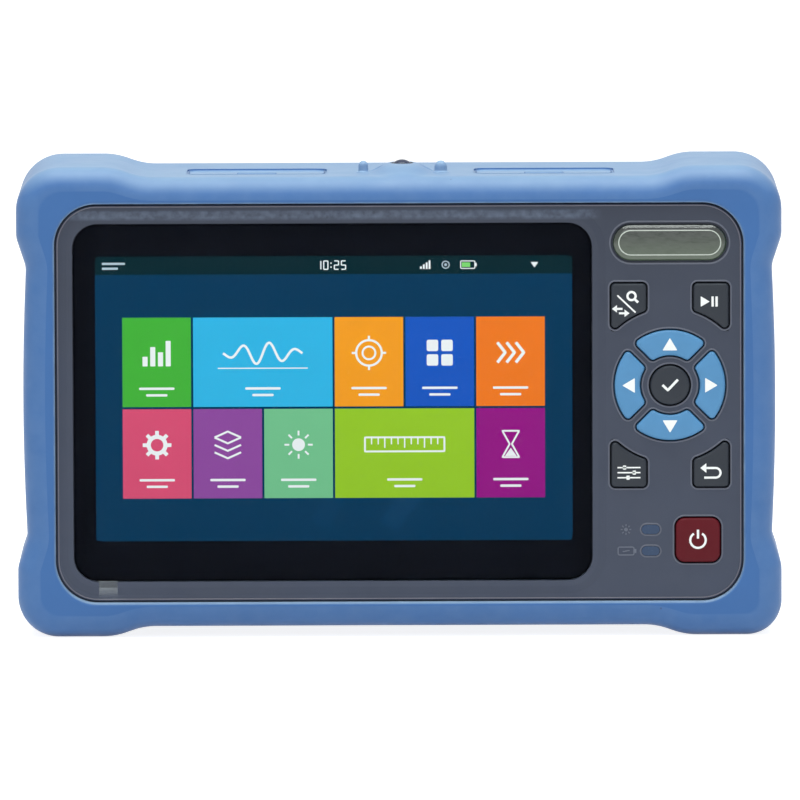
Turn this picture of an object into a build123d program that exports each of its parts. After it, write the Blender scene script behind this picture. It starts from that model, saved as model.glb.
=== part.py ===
"""Handheld optical time domain reflectometer in a rubber boot.

Millimetres. X runs to the right, the face looks along -Y, and Z is up.
The origin is the middle of the base, on which the boot's two lower bumpers stand.
A depth is counted from the boot's front plane towards the back.
"""

from build123d import *
import math
import os

# Boot
BUMPER_PROUD_X = 2.2
BUMPER_PROUD_Z = 2.3
BUMPER_LONG_X = 22.0
BUMPER_LONG_Z = 16.5
BUMPER_RAMP = 7.0
BUMPER_RAMP_R = 20.0
BOOT_CORNER_R = 12.0
SIDE_BOW = 1.3
SHOULDER_R = 4.0
BOOT_WALL = 3.0
BOOT_LIP = 2.2
BACK_LIP = 2.0
LIP_BORDER_X = 6.8
LIP_BORDER_Z = 5.85
LIP_OPENING_R = 9.5
LIP_EDGE_R = 0.8
BACK_BORDER_X = 11.8
BACK_BORDER_Z = 12.2
BACK_OPENING_R = 12.0
BOOT_FIT = 0.1

# Housing shells
HOUSING_CORNER_R = 10.0
SHELL_WALL = 2.2
FACE_DEPTH = 1.3
FACE_WALL = 2.6
FACE_GAP = 0.3
FACE_CHAMFER = 1.0
SPLIT_DEPTH = 9.5
BACK_EDGE_R = 1.5
GASKET_W = 1.0
GASKET_T = 1.2
GASKET_FIT = 0.05

# Screen, and the glass and face round its lit area
DISPLAY_W = 108.0
DISPLAY_H = 64.8
DISPLAY_RISE = 0.8
GLASS_BESIDE = 4.65
GLASS_ABOVE = 8.15
FACE_LEFT = 4.25
FACE_ABOVE = 4.8
KEY_ZONE_W = 34.45
SCREEN_Z = 0.1
GLASS_R = 5.5
GLASS_T = 1.1
GLASS_SUNK = 0.35
GLASS_GAP = 0.2
SCREEN_RIM = 0.4
SCREEN_RIM_W = 1.5
SCREEN_RIM_SLOPE = 1.7
ADHESIVE_T = 0.4
WINDOW_MARGIN = 1.2
PANEL_MARGIN = 3.2
PANEL_T = 3.2
PANEL_SHIFT = 0.3
PANEL_GAP = 0.05
BRACKET_T = 0.8
FILM_T = 0.15
FILM_INSET = 0.4
FILM_TAB_W = 4.2
FILM_TAB_H = 4.4
FILM_TAB_IN = 7.6

# Keys, and how the column's spare height is shared between its gaps
PAD_IN = 16.7
BADGE_SHARE = 0.193
PAD_SHARE = 0.197
POWER_SHARE = 0.273
KEY_GAP = 0.35
KEY_PROUD = 0.8
KEY_TRAVEL = 0.6
KEY_EDGE = 0.35
PAD_R = 12.5
PAD_INNER_R = 6.8
PAD_WEB = 2.2
OK_R = 4.45
ARC_R = 17.75
CORNER_KEY_IN = 5.35
CORNER_KEY_OUT = 13.3
CORNER_KEY_TOP = 23.15
KEY_CORNER_R = 0.9
POWER_OFFSET = 6.3
POWER_SIDE = 10.0
POWER_R = 2.0
FLANGE_GROW = 0.6
FLANGE_T = 0.8
FLANGE_GAP = 0.1
PLUNGER_R = 1.5
PLUNGER_IN = 0.9
MAT_GAP = 0.1
DOME_R = 2.2
DOME_T = 0.5
DOME_TAPER = 50.0
DOME_GAP = 0.1
MAT_HOLE_R = 2.9
BOARD_T = 1.6
KEY_BOARD_UP = 2.85
KEY_POST_OUT = 15.1
KEY_POST_LOW_OUT = 11.5
POWER_POST_OUT = 8.3
POST_INSET = 2.6
POST_R = 1.8
POST_FLOOR = 0.4
BOSS_ROOT = 0.5

# Status windows
LED_OFFSET = 10.7
LED_RISE = (2.4, -2.5)
LED_W = 4.1
LED_H = 2.1
LED_GAP = 0.2
LED_PROUD = 0.15
LED_FLANGE = 0.5
LED_CHIP = (1.6, 0.8)
LED_CHIP_T = 0.5

# Badge
BADGE_W = 25.7
BADGE_H = 8.2
BADGE_GAP = 0.5
BADGE_SUNK = 0.7
BADGE_PLATE_T = 0.3
BADGE_DOME_T = 0.9
BADGE_EDGE = 0.15

# Port bays on the top edge
BAY_DEPTH = 18.0
BAY_W = 29.8
BAY_T = 12.4
BAY_TALL = 9.0
BAY_R = 1.5
BAY_X = (-32.2, 33.0)
TRAY_WALL = 1.2
TRAY_FLOOR = 1.5
TRAY_FLANGE = 1.2
TRAY_FLANGE_T = 1.2
FLAP_OVER = 1.0
FLAP_GAP = 0.5
FLAP_R = 1.8
FLAP_CHAMFER = 0.3
FLAP_PLUG = 1.4
FLAP_PLUG_INSET = 1.3
FLAP_HINGE_GAP = 0.3

# Ports, placed from the middle of their bay
OTDR_AT = -9.5
OPM_AT = 2.5
USB_AT = 11.4
JACK_AT = -6.2
VFL_AT = 8.6
BARREL_R = 4.0
BARREL_BELOW = 8.0
BARREL_SHY = 1.5
BARREL_COLLAR_R = 4.9
BARREL_COLLAR_T = 1.5
BARREL_GROOVE_R = 2.9
BARREL_GROOVE_T = 4.5
BARREL_POST_R = 2.3
BARREL_CHAMFER = 0.3
FERRULE_R = 1.25
FERRULE_DEEP = 8.0
SLEEVE_WALL = 0.4
NUT_FLATS = 9.6
NUT_T = 1.8
JACK_W = 15.2
JACK_T = 12.0
JACK_TALL = 18.5
JACK_OPEN_W = 11.7
JACK_OPEN_T = 7.9
JACK_OPEN_DEEP = 12.0
JACK_LATCH_W = 6.0
JACK_LATCH_T = 1.8
USB_W = 9.0
USB_T = 3.3
USB_TALL = 11.0
USB_END_GAP = 1.0
USB_WALL = 0.35
USB_DEEP = 6.5
USB_TONGUE_T = 0.7
PORT_GAP = 0.1

# Torch on the top edge
TORCH_X = 0.8
TORCH_DEPTH = 15.5
TORCH_LENS_R = 2.1
TORCH_LENS_WALL = 0.6
TORCH_RISE = 2.9
TORCH_RING_RISE = 1.9
TORCH_BEZEL_R = 2.7
TORCH_SEAT_R = 4.0
TORCH_SEAT_T = 1.0
TORCH_BOARD_R = 3.5
TORCH_BOARD_T = 0.8
TORCH_CHIP_R = 1.3
TORCH_CHIP_T = 1.2
ROUND_FIT = 0.15
HUMP_W = 14.5
HUMP_D = 22.0
HUMP_RISE = 1.7
HUMP_ROOT = 1.5
HUMP_CREST = 0.1
PEG_SPAN = 17.6
PEG_R = 1.25
PEG_TALL = 2.6
PEG_TIP = 0.15
LENS_TIP = 0.3
DIMPLE_R = 1.9
DIMPLE_DEEP = 0.9
DIMPLE_IN = 3.0

# Rear stand
STAND_W = 64.0
STAND_ABOVE = 6.5
STAND_BELOW = 13.5
STAND_T = 3.2
STAND_GAP = 0.4
STAND_SHY = 0.2
STAND_R = 5.0
STAND_RECESS = 3.8
STAND_SLOT_W = 34.0
STAND_SLOT_H = 22.0
STAND_PIN_R = 1.0
STAND_PIN_L = 9.0
STAND_PIN_IN = 5.0
STAND_PIN_FIT = 0.05
NOTCH_W = 20.0
NOTCH_H = 10.0
NOTCH_DEEP = 6.0

# Screws
SCREW_INSET = 7.0
SCREW_R = 1.5
SCREW_FIT = 0.1
SCREW_HEAD_R = 2.8
SCREW_HEAD_T = 2.0
SCREW_L = 14.0
SCREW_SEAT_DEPTH = 20.0
SCREW_POST_R = 4.2
POST_SHY = 0.3
SCREW_WELL_R = 3.2
SCREW_HEX_R = 1.3
SCREW_HEX_DEEP = 1.2
THREAD_FIT = 0.05
SMALL_SCREW_R = 0.9
SMALL_HEAD_R = 1.7
SMALL_HEAD_T = 1.0
SMALL_SCREW_L = 3.0

# Boards and modules inside
MAIN_BESIDE = 3.5
MAIN_SHIFT = 0.6
MAIN_BELOW_TRAY = 1.7
MAIN_UP = 2.35
STANDOFF_R = 2.2
STANDOFF_L = 2.25
STANDOFF_INSET = 5.0
BOARD_CLEAR = 0.6
INSIDE_GAP = 0.3
CAN_T = 2.0
CAN_W = 22.0
CAN_H = 18.0
CAN_R = 1.0
CAN_FROM_LEFT = (29.1, 16.1)
CAN_FROM_RIGHT = 20.6
MODULE_IN = 14.6
MODULE_W = 60.0
MODULE_GAP = 1.1
MODULE_T = 14.0
MODULE_FIN_DEEP = 1.2
MODULE_FIN_PITCH = 5.0
CELL_R = 9.2
CELL_L = 65.0
CELL_COUNT = 2
CELL_PITCH = 19.4
CELL_UP = 5.8
CELL_BACK_GAP = 0.8
CELL_CAP_R = 3.2
CELL_CAP_T = 1.0
HOLDER_WALL = 1.2
HOLDER_REACH = 12.0
HOLDER_TO_REEL = 5.0
REEL_R = 22.0
REEL_HUB_R = 14.0
REEL_HOLE_R = 10.0
REEL_T = 6.0
REEL_FLANGE_T = 0.8
REEL_IN = 9.6
REEL_UP = 2.5
COIL_R = 1.6
COIL_GAP = 0.3
SPEAKER_IN = 25.8
SPEAKER_BELOW = 16.5
SPEAKER_R = 10.0
SPEAKER_T = 4.0
SPEAKER_RIM = 1.5
SPEAKER_RIM_T = 1.2
GRILLE_HOLE_R = 0.8
GRILLE_PITCH = 3.2

# A cutter reaches this far past what it opens
PAST = 1.0

# The lit area sets the glass, the glass and the keys set the face, and the face sets the boot
GLASS_W = DISPLAY_W + 2 * GLASS_BESIDE
GLASS_H = DISPLAY_H + 2 * GLASS_ABOVE
LIP_OPENING_W = FACE_LEFT + GLASS_W + KEY_ZONE_W
LIP_OPENING_H = GLASS_H + 2 * FACE_ABOVE
WIDTH = LIP_OPENING_W + 2 * (LIP_BORDER_X + BUMPER_PROUD_X)
HEIGHT = LIP_OPENING_H + 2 * (LIP_BORDER_Z + BUMPER_PROUD_Z)
SCREEN_X = -LIP_OPENING_W / 2 + FACE_LEFT + GLASS_W / 2

# Depths behind the boot's front, up to the battery cells that set the boot's depth
FACE_BACK = FACE_DEPTH + FACE_WALL
GLASS_DEPTH = FACE_DEPTH - SCREEN_RIM + GLASS_SUNK
LEDGE_DEPTH = GLASS_DEPTH + GLASS_T + ADHESIVE_T
PANEL_DEPTH = FACE_BACK + PANEL_GAP
BRACKET_DEPTH = PANEL_DEPTH + PANEL_T
MAIN_DEPTH = BRACKET_DEPTH + BRACKET_T + STANDOFF_L
CAN_BACK = MAIN_DEPTH + BOARD_T + CAN_T
MODULE_DEPTH = CAN_BACK + INSIDE_GAP
CELL_DEPTH = MODULE_DEPTH + HOLDER_WALL + INSIDE_GAP + CELL_R
BACK_DEPTH = CELL_DEPTH + CELL_R + CELL_BACK_GAP + SHELL_WALL + NOTCH_DEEP
DEPTH = BACK_DEPTH + BACK_LIP
INNER_BACK = BACK_DEPTH - SHELL_WALL

FRONT_Y = -DEPTH / 2
MID_Z = HEIGHT / 2
WAIST_X = WIDTH / 2 - BUMPER_PROUD_X
WAIST_Z = HEIGHT / 2 - BUMPER_PROUD_Z
HOUSING_W = 2 * (WAIST_X - BOOT_WALL)
HOUSING_H = 2 * (WAIST_Z - BOOT_WALL)
HOUSING_TOP = MID_Z + HOUSING_H / 2
INNER_TOP = HOUSING_TOP - SHELL_WALL
INNER_X = HOUSING_W / 2 - SHELL_WALL
INNER_Z = HOUSING_H / 2 - SHELL_WALL
BOOT_TOP = MID_Z + WAIST_Z
BACK_OPENING_W = 2 * (WAIST_X - BACK_BORDER_X)
BACK_OPENING_H = 2 * (WAIST_Z - BACK_BORDER_Z)
DISPLAY_Z = SCREEN_Z + DISPLAY_RISE

# Key column, from the badge down to the power key
COLUMN_SPARE = LIP_OPENING_H - BADGE_H - 2 * CORNER_KEY_TOP - POWER_SIDE
BADGE_Z = LIP_OPENING_H / 2 - BADGE_SHARE * COLUMN_SPARE - BADGE_H / 2
KEY_X = LIP_OPENING_W / 2 - PAD_IN
KEY_Z = BADGE_Z - BADGE_H / 2 - PAD_SHARE * COLUMN_SPARE - CORNER_KEY_TOP
POWER_X = KEY_X + POWER_OFFSET
POWER_Z = KEY_Z - CORNER_KEY_TOP - POWER_SHARE * COLUMN_SPARE - POWER_SIDE / 2
LED_X = POWER_X - LED_OFFSET
LED_Z = tuple(POWER_Z + rise for rise in LED_RISE)
KEY_BOARD_W = 2 * (KEY_POST_OUT + POST_R)
KEY_BOARD_TOP = KEY_Z + CORNER_KEY_TOP + BOARD_CLEAR
KEY_BOARD_LOW = KEY_BOARD_UP - LIP_OPENING_H / 2
FLANGE_DEPTH = FACE_BACK + FLANGE_GAP
MAT_DEPTH = FLANGE_DEPTH + FLANGE_T + KEY_TRAVEL + MAT_GAP
PLUNGER_DEPTH = MAT_DEPTH + PLUNGER_IN
DOME_DEPTH = PLUNGER_DEPTH + KEY_TRAVEL + DOME_GAP
KEY_BOARD_DEPTH = DOME_DEPTH + DOME_T

# Ports, and the boards and modules under them
BAY_FLOOR = HOUSING_TOP - BAY_TALL
PORT_TOP = HOUSING_TOP - BARREL_SHY
BARRELS = ((BAY_X[0], OTDR_AT), (BAY_X[0], OPM_AT), (BAY_X[1], VFL_AT))
MAIN_W = DISPLAY_W + 2 * MAIN_BESIDE
MAIN_X = SCREEN_X + MAIN_SHIFT
MAIN_TOP = BAY_FLOOR - TRAY_FLOOR - MAIN_BELOW_TRAY - MID_Z
MAIN_LOW = MAIN_UP - LIP_OPENING_H / 2
CELL_Z = -INNER_Z + CELL_UP + HOLDER_WALL + INSIDE_GAP + CELL_R + (CELL_COUNT - 1) * CELL_PITCH / 2
HOLDER_TOP = CELL_Z + (CELL_COUNT - 1) * CELL_PITCH / 2 + CELL_R + INSIDE_GAP + HOLDER_WALL
REEL_X = -INNER_X + REEL_IN + REEL_R
REEL_Z = -INNER_Z + REEL_UP + REEL_R
CELL_X = REEL_X + REEL_R + HOLDER_TO_REEL + HOLDER_WALL + 2 * INSIDE_GAP + CELL_L / 2
MODULE_TOP = BAY_FLOOR - TRAY_FLOOR - BARREL_BELOW
MODULE_H = MODULE_TOP - MID_Z - max(HOLDER_TOP, REEL_Z + REEL_R) - MODULE_GAP
MODULE_Z = MODULE_TOP - MODULE_H / 2 - MID_Z
MODULE_X = -INNER_X + MODULE_IN + MODULE_W / 2
SPEAKER_X = HOUSING_W / 2 - SPEAKER_IN
SPEAKER_Z = BACK_OPENING_H / 2 - SPEAKER_BELOW

# Rear stand
STAND_TOP_Z = MID_Z + BACK_OPENING_H / 2 - STAND_ABOVE
STAND_H = BACK_OPENING_H - STAND_ABOVE - STAND_BELOW
STAND_DEPTH = BACK_DEPTH - STAND_SHY - STAND_T
STAND_PIN_DEPTH = STAND_DEPTH + STAND_T / 2
STAND_PIN_Z = STAND_TOP_Z - STAND_T / 2


def y_at(depth):
    """Y of the plane at a depth behind the boot's front."""
    return FRONT_Y + depth


def at(x, z):
    """Place on a front view, counted from the middle of the face."""
    return Pos(x, MID_Z + z)


def slab(outline, near, far):
    """Front-view outline run from a near depth to a far one."""
    return extrude(Plane.XZ.offset(-y_at(far)) * outline, amount=far - near)


def column(outline, low, high):
    """Top-view outline run from a low height to a high one."""
    return extrude(Plane.XY.offset(low) * outline, amount=high - low)


def disc(x, z, radius, near, far):
    """Round slab at a place on the face."""
    return slab(at(x, z) * Circle(radius), near, far)


def torch_place():
    """Plan position of the torch on the top edge."""
    return Pos(TORCH_X, y_at(TORCH_DEPTH))


def save(name, shape):
    """Write one sub-part."""
    shape.label = name
    export_step(shape, os.path.join("parts", name + ".step"))


def edges_at(shape, depth):
    """Edges that lie flat in the plane at a depth."""
    y = y_at(depth)
    flat = []
    for edge in shape.edges():
        box = edge.bounding_box()
        if abs(box.min.Y - y) < 1e-4 and abs(box.max.Y - y) < 1e-4:
            flat.append(edge)
    return flat


def boot_outline():
    """Waisted outline with a swelled bumper at each corner."""
    side = WIDTH / 2
    top = HEIGHT / 2
    run = top - BUMPER_LONG_Z - BUMPER_RAMP
    bow_r = (run - BUMPER_RAMP) * run / SIDE_BOW
    corner = [
        (WAIST_X + SIDE_BOW, 0, bow_r),
        (WAIST_X, run, BUMPER_RAMP_R),
        (side, top - BUMPER_LONG_Z, BUMPER_RAMP_R),
        (side, top, BOOT_CORNER_R),
        (side - BUMPER_LONG_X, top, BUMPER_RAMP_R),
        (side - BUMPER_LONG_X - BUMPER_RAMP, WAIST_Z, BUMPER_RAMP_R),
    ]
    right = corner[1:] + [(-x, z, r) for x, z, r in corner[:0:-1]]
    upper = [corner[0]] + right + [(-corner[0][0], 0, corner[0][2])]
    lower = [(x, -z, r) for x, z, r in reversed(right)]
    ring = upper + lower
    path = FilletPolyline([(x, z) for x, z, r in ring], radius=[r for x, z, r in ring], close=True)
    return at(0, 0) * make_face(path)


def housing_outline(inset=0.0):
    """Rounded outline of the two shells, drawn in by an inset."""
    return at(0, 0) * RectangleRounded(
        HOUSING_W - 2 * inset, HOUSING_H - 2 * inset, HOUSING_CORNER_R - inset
    )


def lip_outline(inset=0.0):
    """Opening in the boot's front lip, drawn in by an inset."""
    return at(0, 0) * RectangleRounded(
        LIP_OPENING_W - 2 * inset, LIP_OPENING_H - 2 * inset, LIP_OPENING_R - inset
    )


def glass_outline(grow=0.0):
    """Outline of the cover glass, let out by a margin."""
    return at(SCREEN_X, SCREEN_Z) * RectangleRounded(
        GLASS_W + 2 * grow, GLASS_H + 2 * grow, GLASS_R + grow
    )


def display_outline(grow=0.0):
    """Lit area of the display, let out by a margin."""
    return at(SCREEN_X + PANEL_SHIFT, DISPLAY_Z) * Rectangle(DISPLAY_W + 2 * grow, DISPLAY_H + 2 * grow)


def bay_outline(grow=0.0):
    """Plan of one port bay, drawn about its own middle."""
    return RectangleRounded(BAY_W + 2 * grow, BAY_T + 2 * grow, BAY_R + max(grow, 0))


def pad_key_outline(turn, grow=0.0):
    """Ring sector of the direction pad, centred on the angle it is turned to."""
    ring = Circle(PAD_R + grow) - Circle(PAD_INNER_R - grow)
    reach = 2 * PAD_R
    web = PAD_WEB / 2 - grow
    tip = web * math.sqrt(2)
    wedge = make_face(Polyline((tip, 0), (tip + reach, reach), (tip + reach, -reach), close=True))
    sector = ring & wedge
    sector = fillet(sector.vertices(), KEY_CORNER_R)
    return at(KEY_X, KEY_Z) * Rot(0, 0, turn) * sector


def corner_key_outline(side, end, grow=0.0):
    """Corner key whose inner edge is an arc about the middle of the pad."""
    left = CORNER_KEY_IN - grow
    right = CORNER_KEY_OUT + grow
    top = CORNER_KEY_TOP + grow
    arc_r = ARC_R - grow
    low = math.sqrt(arc_r**2 - right**2)
    block = Pos((left + right) / 2, (low - 1 + top) / 2) * Rectangle(right - left, top - low + 1)
    shape = block - Circle(arc_r)
    shape = fillet(shape.vertices(), KEY_CORNER_R)
    if side < 0:
        shape = mirror(shape, Plane.YZ)
    if end < 0:
        shape = mirror(shape, Plane.XZ)
    return at(KEY_X, KEY_Z) * shape


def key_table():
    """Each key's outline function and the middle of its plunger."""
    ring_mid = (PAD_R + PAD_INNER_R) / 2
    corner_x = (CORNER_KEY_IN + CORNER_KEY_OUT) / 2
    corner_z = CORNER_KEY_TOP - (CORNER_KEY_OUT - CORNER_KEY_IN) / 2
    keys = {
        "key_ok": (lambda grow: at(KEY_X, KEY_Z) * Circle(OK_R + grow), KEY_X, KEY_Z),
        "key_power": (
            lambda grow: at(POWER_X, POWER_Z)
            * RectangleRounded(POWER_SIDE + 2 * grow, POWER_SIDE + 2 * grow, POWER_R + grow),
            POWER_X,
            POWER_Z,
        ),
    }
    for name, turn in (("right", 0), ("up", 90), ("left", 180), ("down", 270)):
        x = KEY_X + ring_mid * math.cos(math.radians(turn))
        z = KEY_Z + ring_mid * math.sin(math.radians(turn))
        keys["key_" + name] = (lambda grow, turn=turn: pad_key_outline(turn, grow), x, z)
    for name, side, end in (("zoom", -1, 1), ("play", 1, 1), ("set", -1, -1), ("esc", 1, -1)):
        x = KEY_X + side * corner_x
        z = KEY_Z + end * corner_z
        keys["key_" + name] = (
            lambda grow, side=side, end=end: corner_key_outline(side, end, grow),
            x,
            z,
        )
    return keys


KEYS = key_table()


def housing_screw_places():
    """Corners at which the two shells are screwed together."""
    x = HOUSING_W / 2 - SCREW_INSET
    z = HOUSING_H / 2 - SCREW_INSET
    return [(-x, -z), (x, -z), (-x, z), (x, z)]


def key_post_places():
    """Posts on which the keypad board is screwed, beside the pad and the power key."""
    return [
        (KEY_X - KEY_POST_OUT, KEY_Z),
        (KEY_X + KEY_POST_OUT, KEY_Z),
        (KEY_X - KEY_POST_LOW_OUT, KEY_BOARD_LOW + POST_INSET),
        (POWER_X + POWER_POST_OUT, POWER_Z),
    ]


def bracket_tab_places():
    """Tabs that hold the display bracket to the front shell, above and below the panel."""
    low = DISPLAY_Z - DISPLAY_H / 2 - PANEL_MARGIN - POST_INSET
    high = DISPLAY_Z + DISPLAY_H / 2 + PANEL_MARGIN + POST_INSET
    reach = DISPLAY_W / 3
    return [(SCREEN_X + side * reach, z) for side in (-1, 1) for z in (low, high)]


def standoff_places():
    """Standoffs on the display bracket that carry the main board."""
    half = DISPLAY_W / 2 - STANDOFF_INSET
    rows = (MAIN_LOW + 3 * STANDOFF_INSET, MAIN_TOP - 2 * STANDOFF_INSET)
    return [(SCREEN_X + side * half, z) for side in (-1, 1) for z in rows]


def led_outline(z, grow=0.0):
    """Pill-shaped status window, let out by a margin."""
    return at(LED_X, z) * SlotOverall(LED_W + 2 * grow, LED_H + 2 * grow)


def badge_outline(grow=0.0):
    """Pill-shaped badge, let out by a margin."""
    return at(KEY_X, BADGE_Z) * SlotOverall(BADGE_W + 2 * grow, BADGE_H + 2 * grow)


def make_boot():
    """Rubber boot: bumpers, lips, flap openings, torch hump and pegs."""
    body = slab(boot_outline(), 0, DEPTH)
    body = fillet(edges_at(body, 0) + edges_at(body, DEPTH), SHOULDER_R)
    body -= slab(housing_outline(-BOOT_FIT), BOOT_LIP, BACK_DEPTH + BOOT_FIT)
    body -= slab(lip_outline(), -PAST, BOOT_LIP + PAST)
    body = fillet([e for e in edges_at(body, 0) if inside_lip(e)], LIP_EDGE_R)
    back = at(0, 0) * RectangleRounded(BACK_OPENING_W, BACK_OPENING_H, BACK_OPENING_R)
    body -= slab(back, BACK_DEPTH - PAST, DEPTH + PAST)
    hump = torch_place() * SlotOverall(HUMP_D, HUMP_W, rotation=90)
    hump = column(hump, BOOT_TOP - HUMP_ROOT, BOOT_TOP + HUMP_RISE)
    hump = fillet(hump.edges().group_by(Axis.Z)[-1], HUMP_RISE - HUMP_CREST)
    body += hump
    for side in (-1, 1):
        x = TORCH_X + side * PEG_SPAN / 2
        peg = Pos(x, y_at(TORCH_DEPTH)) * Circle(PEG_R)
        peg = column(peg, BOOT_TOP - BOSS_ROOT, BOOT_TOP + PEG_TALL)
        peg = fillet(peg.edges().group_by(Axis.Z)[-1], PEG_R - PEG_TIP)
        body += peg
        dimple_x = x - side * DIMPLE_IN
        body -= Pos(dimple_x, y_at(TORCH_DEPTH), BOOT_TOP + DIMPLE_R - DIMPLE_DEEP) * Sphere(DIMPLE_R)
    torch = torch_place() * Circle(TORCH_BEZEL_R + ROUND_FIT)
    body -= column(torch, HOUSING_TOP - PAST, BOOT_TOP + HUMP_RISE + PAST)
    for x in BAY_X:
        window = Pos(x, y_at(BAY_DEPTH)) * bay_outline(FLAP_OVER)
        body -= column(window, HOUSING_TOP - PAST, BOOT_TOP + PAST)
    return body


def inside_lip(edge):
    """Whether an edge belongs to the opening in the front lip."""
    box = edge.bounding_box()
    reach_x = max(abs(box.min.X), abs(box.max.X))
    reach_z = max(abs(box.min.Z - MID_Z), abs(box.max.Z - MID_Z))
    return reach_x < LIP_OPENING_W / 2 + LIP_EDGE_R and reach_z < LIP_OPENING_H / 2 + LIP_EDGE_R


def make_port_flap(x):
    """Rubber flap with a plug under it that seals one port bay."""
    middle = Pos(x, y_at(BAY_DEPTH) + (FLAP_GAP - FLAP_HINGE_GAP) / 2)
    across = BAY_W + 2 * FLAP_OVER - 2 * FLAP_GAP
    along = BAY_T + 2 * FLAP_OVER - FLAP_GAP - FLAP_HINGE_GAP
    lid = column(middle * RectangleRounded(across, along, FLAP_R), HOUSING_TOP + BOOT_FIT, BOOT_TOP)
    lid = chamfer(lid.edges().group_by(Axis.Z)[-1], FLAP_CHAMFER)
    plug = RectangleRounded(BAY_W - 2 * FLAP_PLUG_INSET, BAY_T - 2 * FLAP_PLUG_INSET, BAY_R)
    plug = column(middle * plug, HOUSING_TOP - FLAP_PLUG, HOUSING_TOP + PAST)
    return lid + plug


def make_front_shell():
    """Face shell with its screen rim, key openings, windows and bosses."""
    body = slab(housing_outline(), BOOT_LIP + BOOT_FIT, SPLIT_DEPTH)
    face = slab(lip_outline(FACE_GAP), FACE_DEPTH, SPLIT_DEPTH)
    face = chamfer(edges_at(face, FACE_DEPTH), FACE_CHAMFER)
    body += face
    body -= slab(housing_outline(SHELL_WALL), FACE_BACK, SPLIT_DEPTH + PAST)
    foot = Plane.XZ.offset(-y_at(FACE_DEPTH)) * glass_outline(SCREEN_RIM_W + SCREEN_RIM_SLOPE)
    crest = Plane.XZ.offset(-y_at(FACE_DEPTH - SCREEN_RIM)) * glass_outline(SCREEN_RIM_W)
    body += loft([foot, crest])
    body -= slab(glass_outline(GLASS_GAP), 0, LEDGE_DEPTH)
    body -= slab(display_outline(WINDOW_MARGIN), 0, SPLIT_DEPTH)
    for outline, _, _ in KEYS.values():
        body -= slab(outline(KEY_GAP), 0, SPLIT_DEPTH)
    for z in LED_Z:
        body -= slab(led_outline(z, LED_GAP), 0, SPLIT_DEPTH)
    body -= slab(badge_outline(BADGE_GAP), 0, FACE_DEPTH + BADGE_SUNK)
    for x, z in key_post_places():
        body += disc(x, z, POST_R, FACE_BACK - BOSS_ROOT, KEY_BOARD_DEPTH)
        body -= disc(x, z, SMALL_SCREW_R + THREAD_FIT, FACE_BACK + POST_FLOOR, KEY_BOARD_DEPTH + PAST)
    for x, z in bracket_tab_places():
        body += disc(x, z, POST_R, FACE_BACK - BOSS_ROOT, BRACKET_DEPTH)
        body -= disc(x, z, SMALL_SCREW_R + THREAD_FIT, FACE_BACK + POST_FLOOR, BRACKET_DEPTH + PAST)
    for x, z in housing_screw_places():
        boss = disc(x, z, SCREW_POST_R, FACE_BACK - BOSS_ROOT, SPLIT_DEPTH)
        body += boss & slab(housing_outline(BOSS_ROOT), 0, SPLIT_DEPTH)
        tip = SCREW_SEAT_DEPTH - SCREW_L
        body -= disc(x, z, SCREW_R + THREAD_FIT, tip - BOSS_ROOT, SPLIT_DEPTH + PAST)
    return body


def make_rear_shell():
    """Deep rear shell with screw wells, port openings and the stand's recess."""
    body = slab(housing_outline(), SPLIT_DEPTH, BACK_DEPTH)
    body = fillet(edges_at(body, BACK_DEPTH), BACK_EDGE_R)
    body -= slab(housing_outline(SHELL_WALL), SPLIT_DEPTH - PAST, INNER_BACK)
    groove = housing_outline((SHELL_WALL - GASKET_W) / 2 - GASKET_FIT)
    groove -= housing_outline((SHELL_WALL + GASKET_W) / 2 + GASKET_FIT)
    body -= slab(groove, SPLIT_DEPTH - PAST, SPLIT_DEPTH + GASKET_T)
    for x, z in housing_screw_places():
        post = disc(x, z, SCREW_POST_R, SPLIT_DEPTH, INNER_BACK + BOSS_ROOT)
        body += post & slab(housing_outline((SHELL_WALL + GASKET_W) / 2 + POST_SHY), 0, DEPTH)
        body -= disc(x, z, SCREW_R + SCREW_FIT, SPLIT_DEPTH - PAST, SCREW_SEAT_DEPTH + PAST)
        body -= disc(x, z, SCREW_WELL_R, SCREW_SEAT_DEPTH, DEPTH)
    for x in BAY_X:
        window = Pos(x, y_at(BAY_DEPTH)) * bay_outline()
        body -= column(window, INNER_TOP - PAST, HOUSING_TOP + PAST)
    recess = BACK_DEPTH - STAND_RECESS
    notch = BACK_DEPTH - NOTCH_DEEP
    body += slab(stand_outline(STAND_GAP + SHELL_WALL), recess - SHELL_WALL, INNER_BACK + BOSS_ROOT)
    body += slab(notch_outline(SHELL_WALL), notch - SHELL_WALL, INNER_BACK + BOSS_ROOT)
    body -= slab(stand_outline(STAND_GAP), recess, BACK_DEPTH + PAST)
    body -= slab(notch_outline(), notch, BACK_DEPTH + PAST)
    for side in (-1, 1):
        body -= stand_pin(side, STAND_PIN_FIT)
    torch = torch_place() * Circle(TORCH_BEZEL_R + ROUND_FIT)
    body -= column(torch, INNER_TOP - PAST, HOUSING_TOP + PAST)
    for x, z in grille_places():
        body -= disc(x, z, GRILLE_HOLE_R, INNER_BACK - PAST, DEPTH)
    return body


def stand_outline(grow=0.0):
    """Rear stand's outline, square at its hinge and round at its foot, let out by a margin."""
    middle = STAND_TOP_Z - STAND_H / 2 - MID_Z
    width = STAND_W + 2 * grow
    height = STAND_H + 2 * grow
    upper = Pos(0, height / 4) * Rectangle(width, height / 2)
    return at(0, middle) * (RectangleRounded(width, height, STAND_R + grow) + upper)


def notch_outline(grow=0.0):
    """Finger notch under the stand's free edge."""
    middle = STAND_TOP_Z - STAND_H - MID_Z
    return at(0, middle) * SlotOverall(NOTCH_W + 2 * grow, NOTCH_H + 2 * grow)


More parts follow.
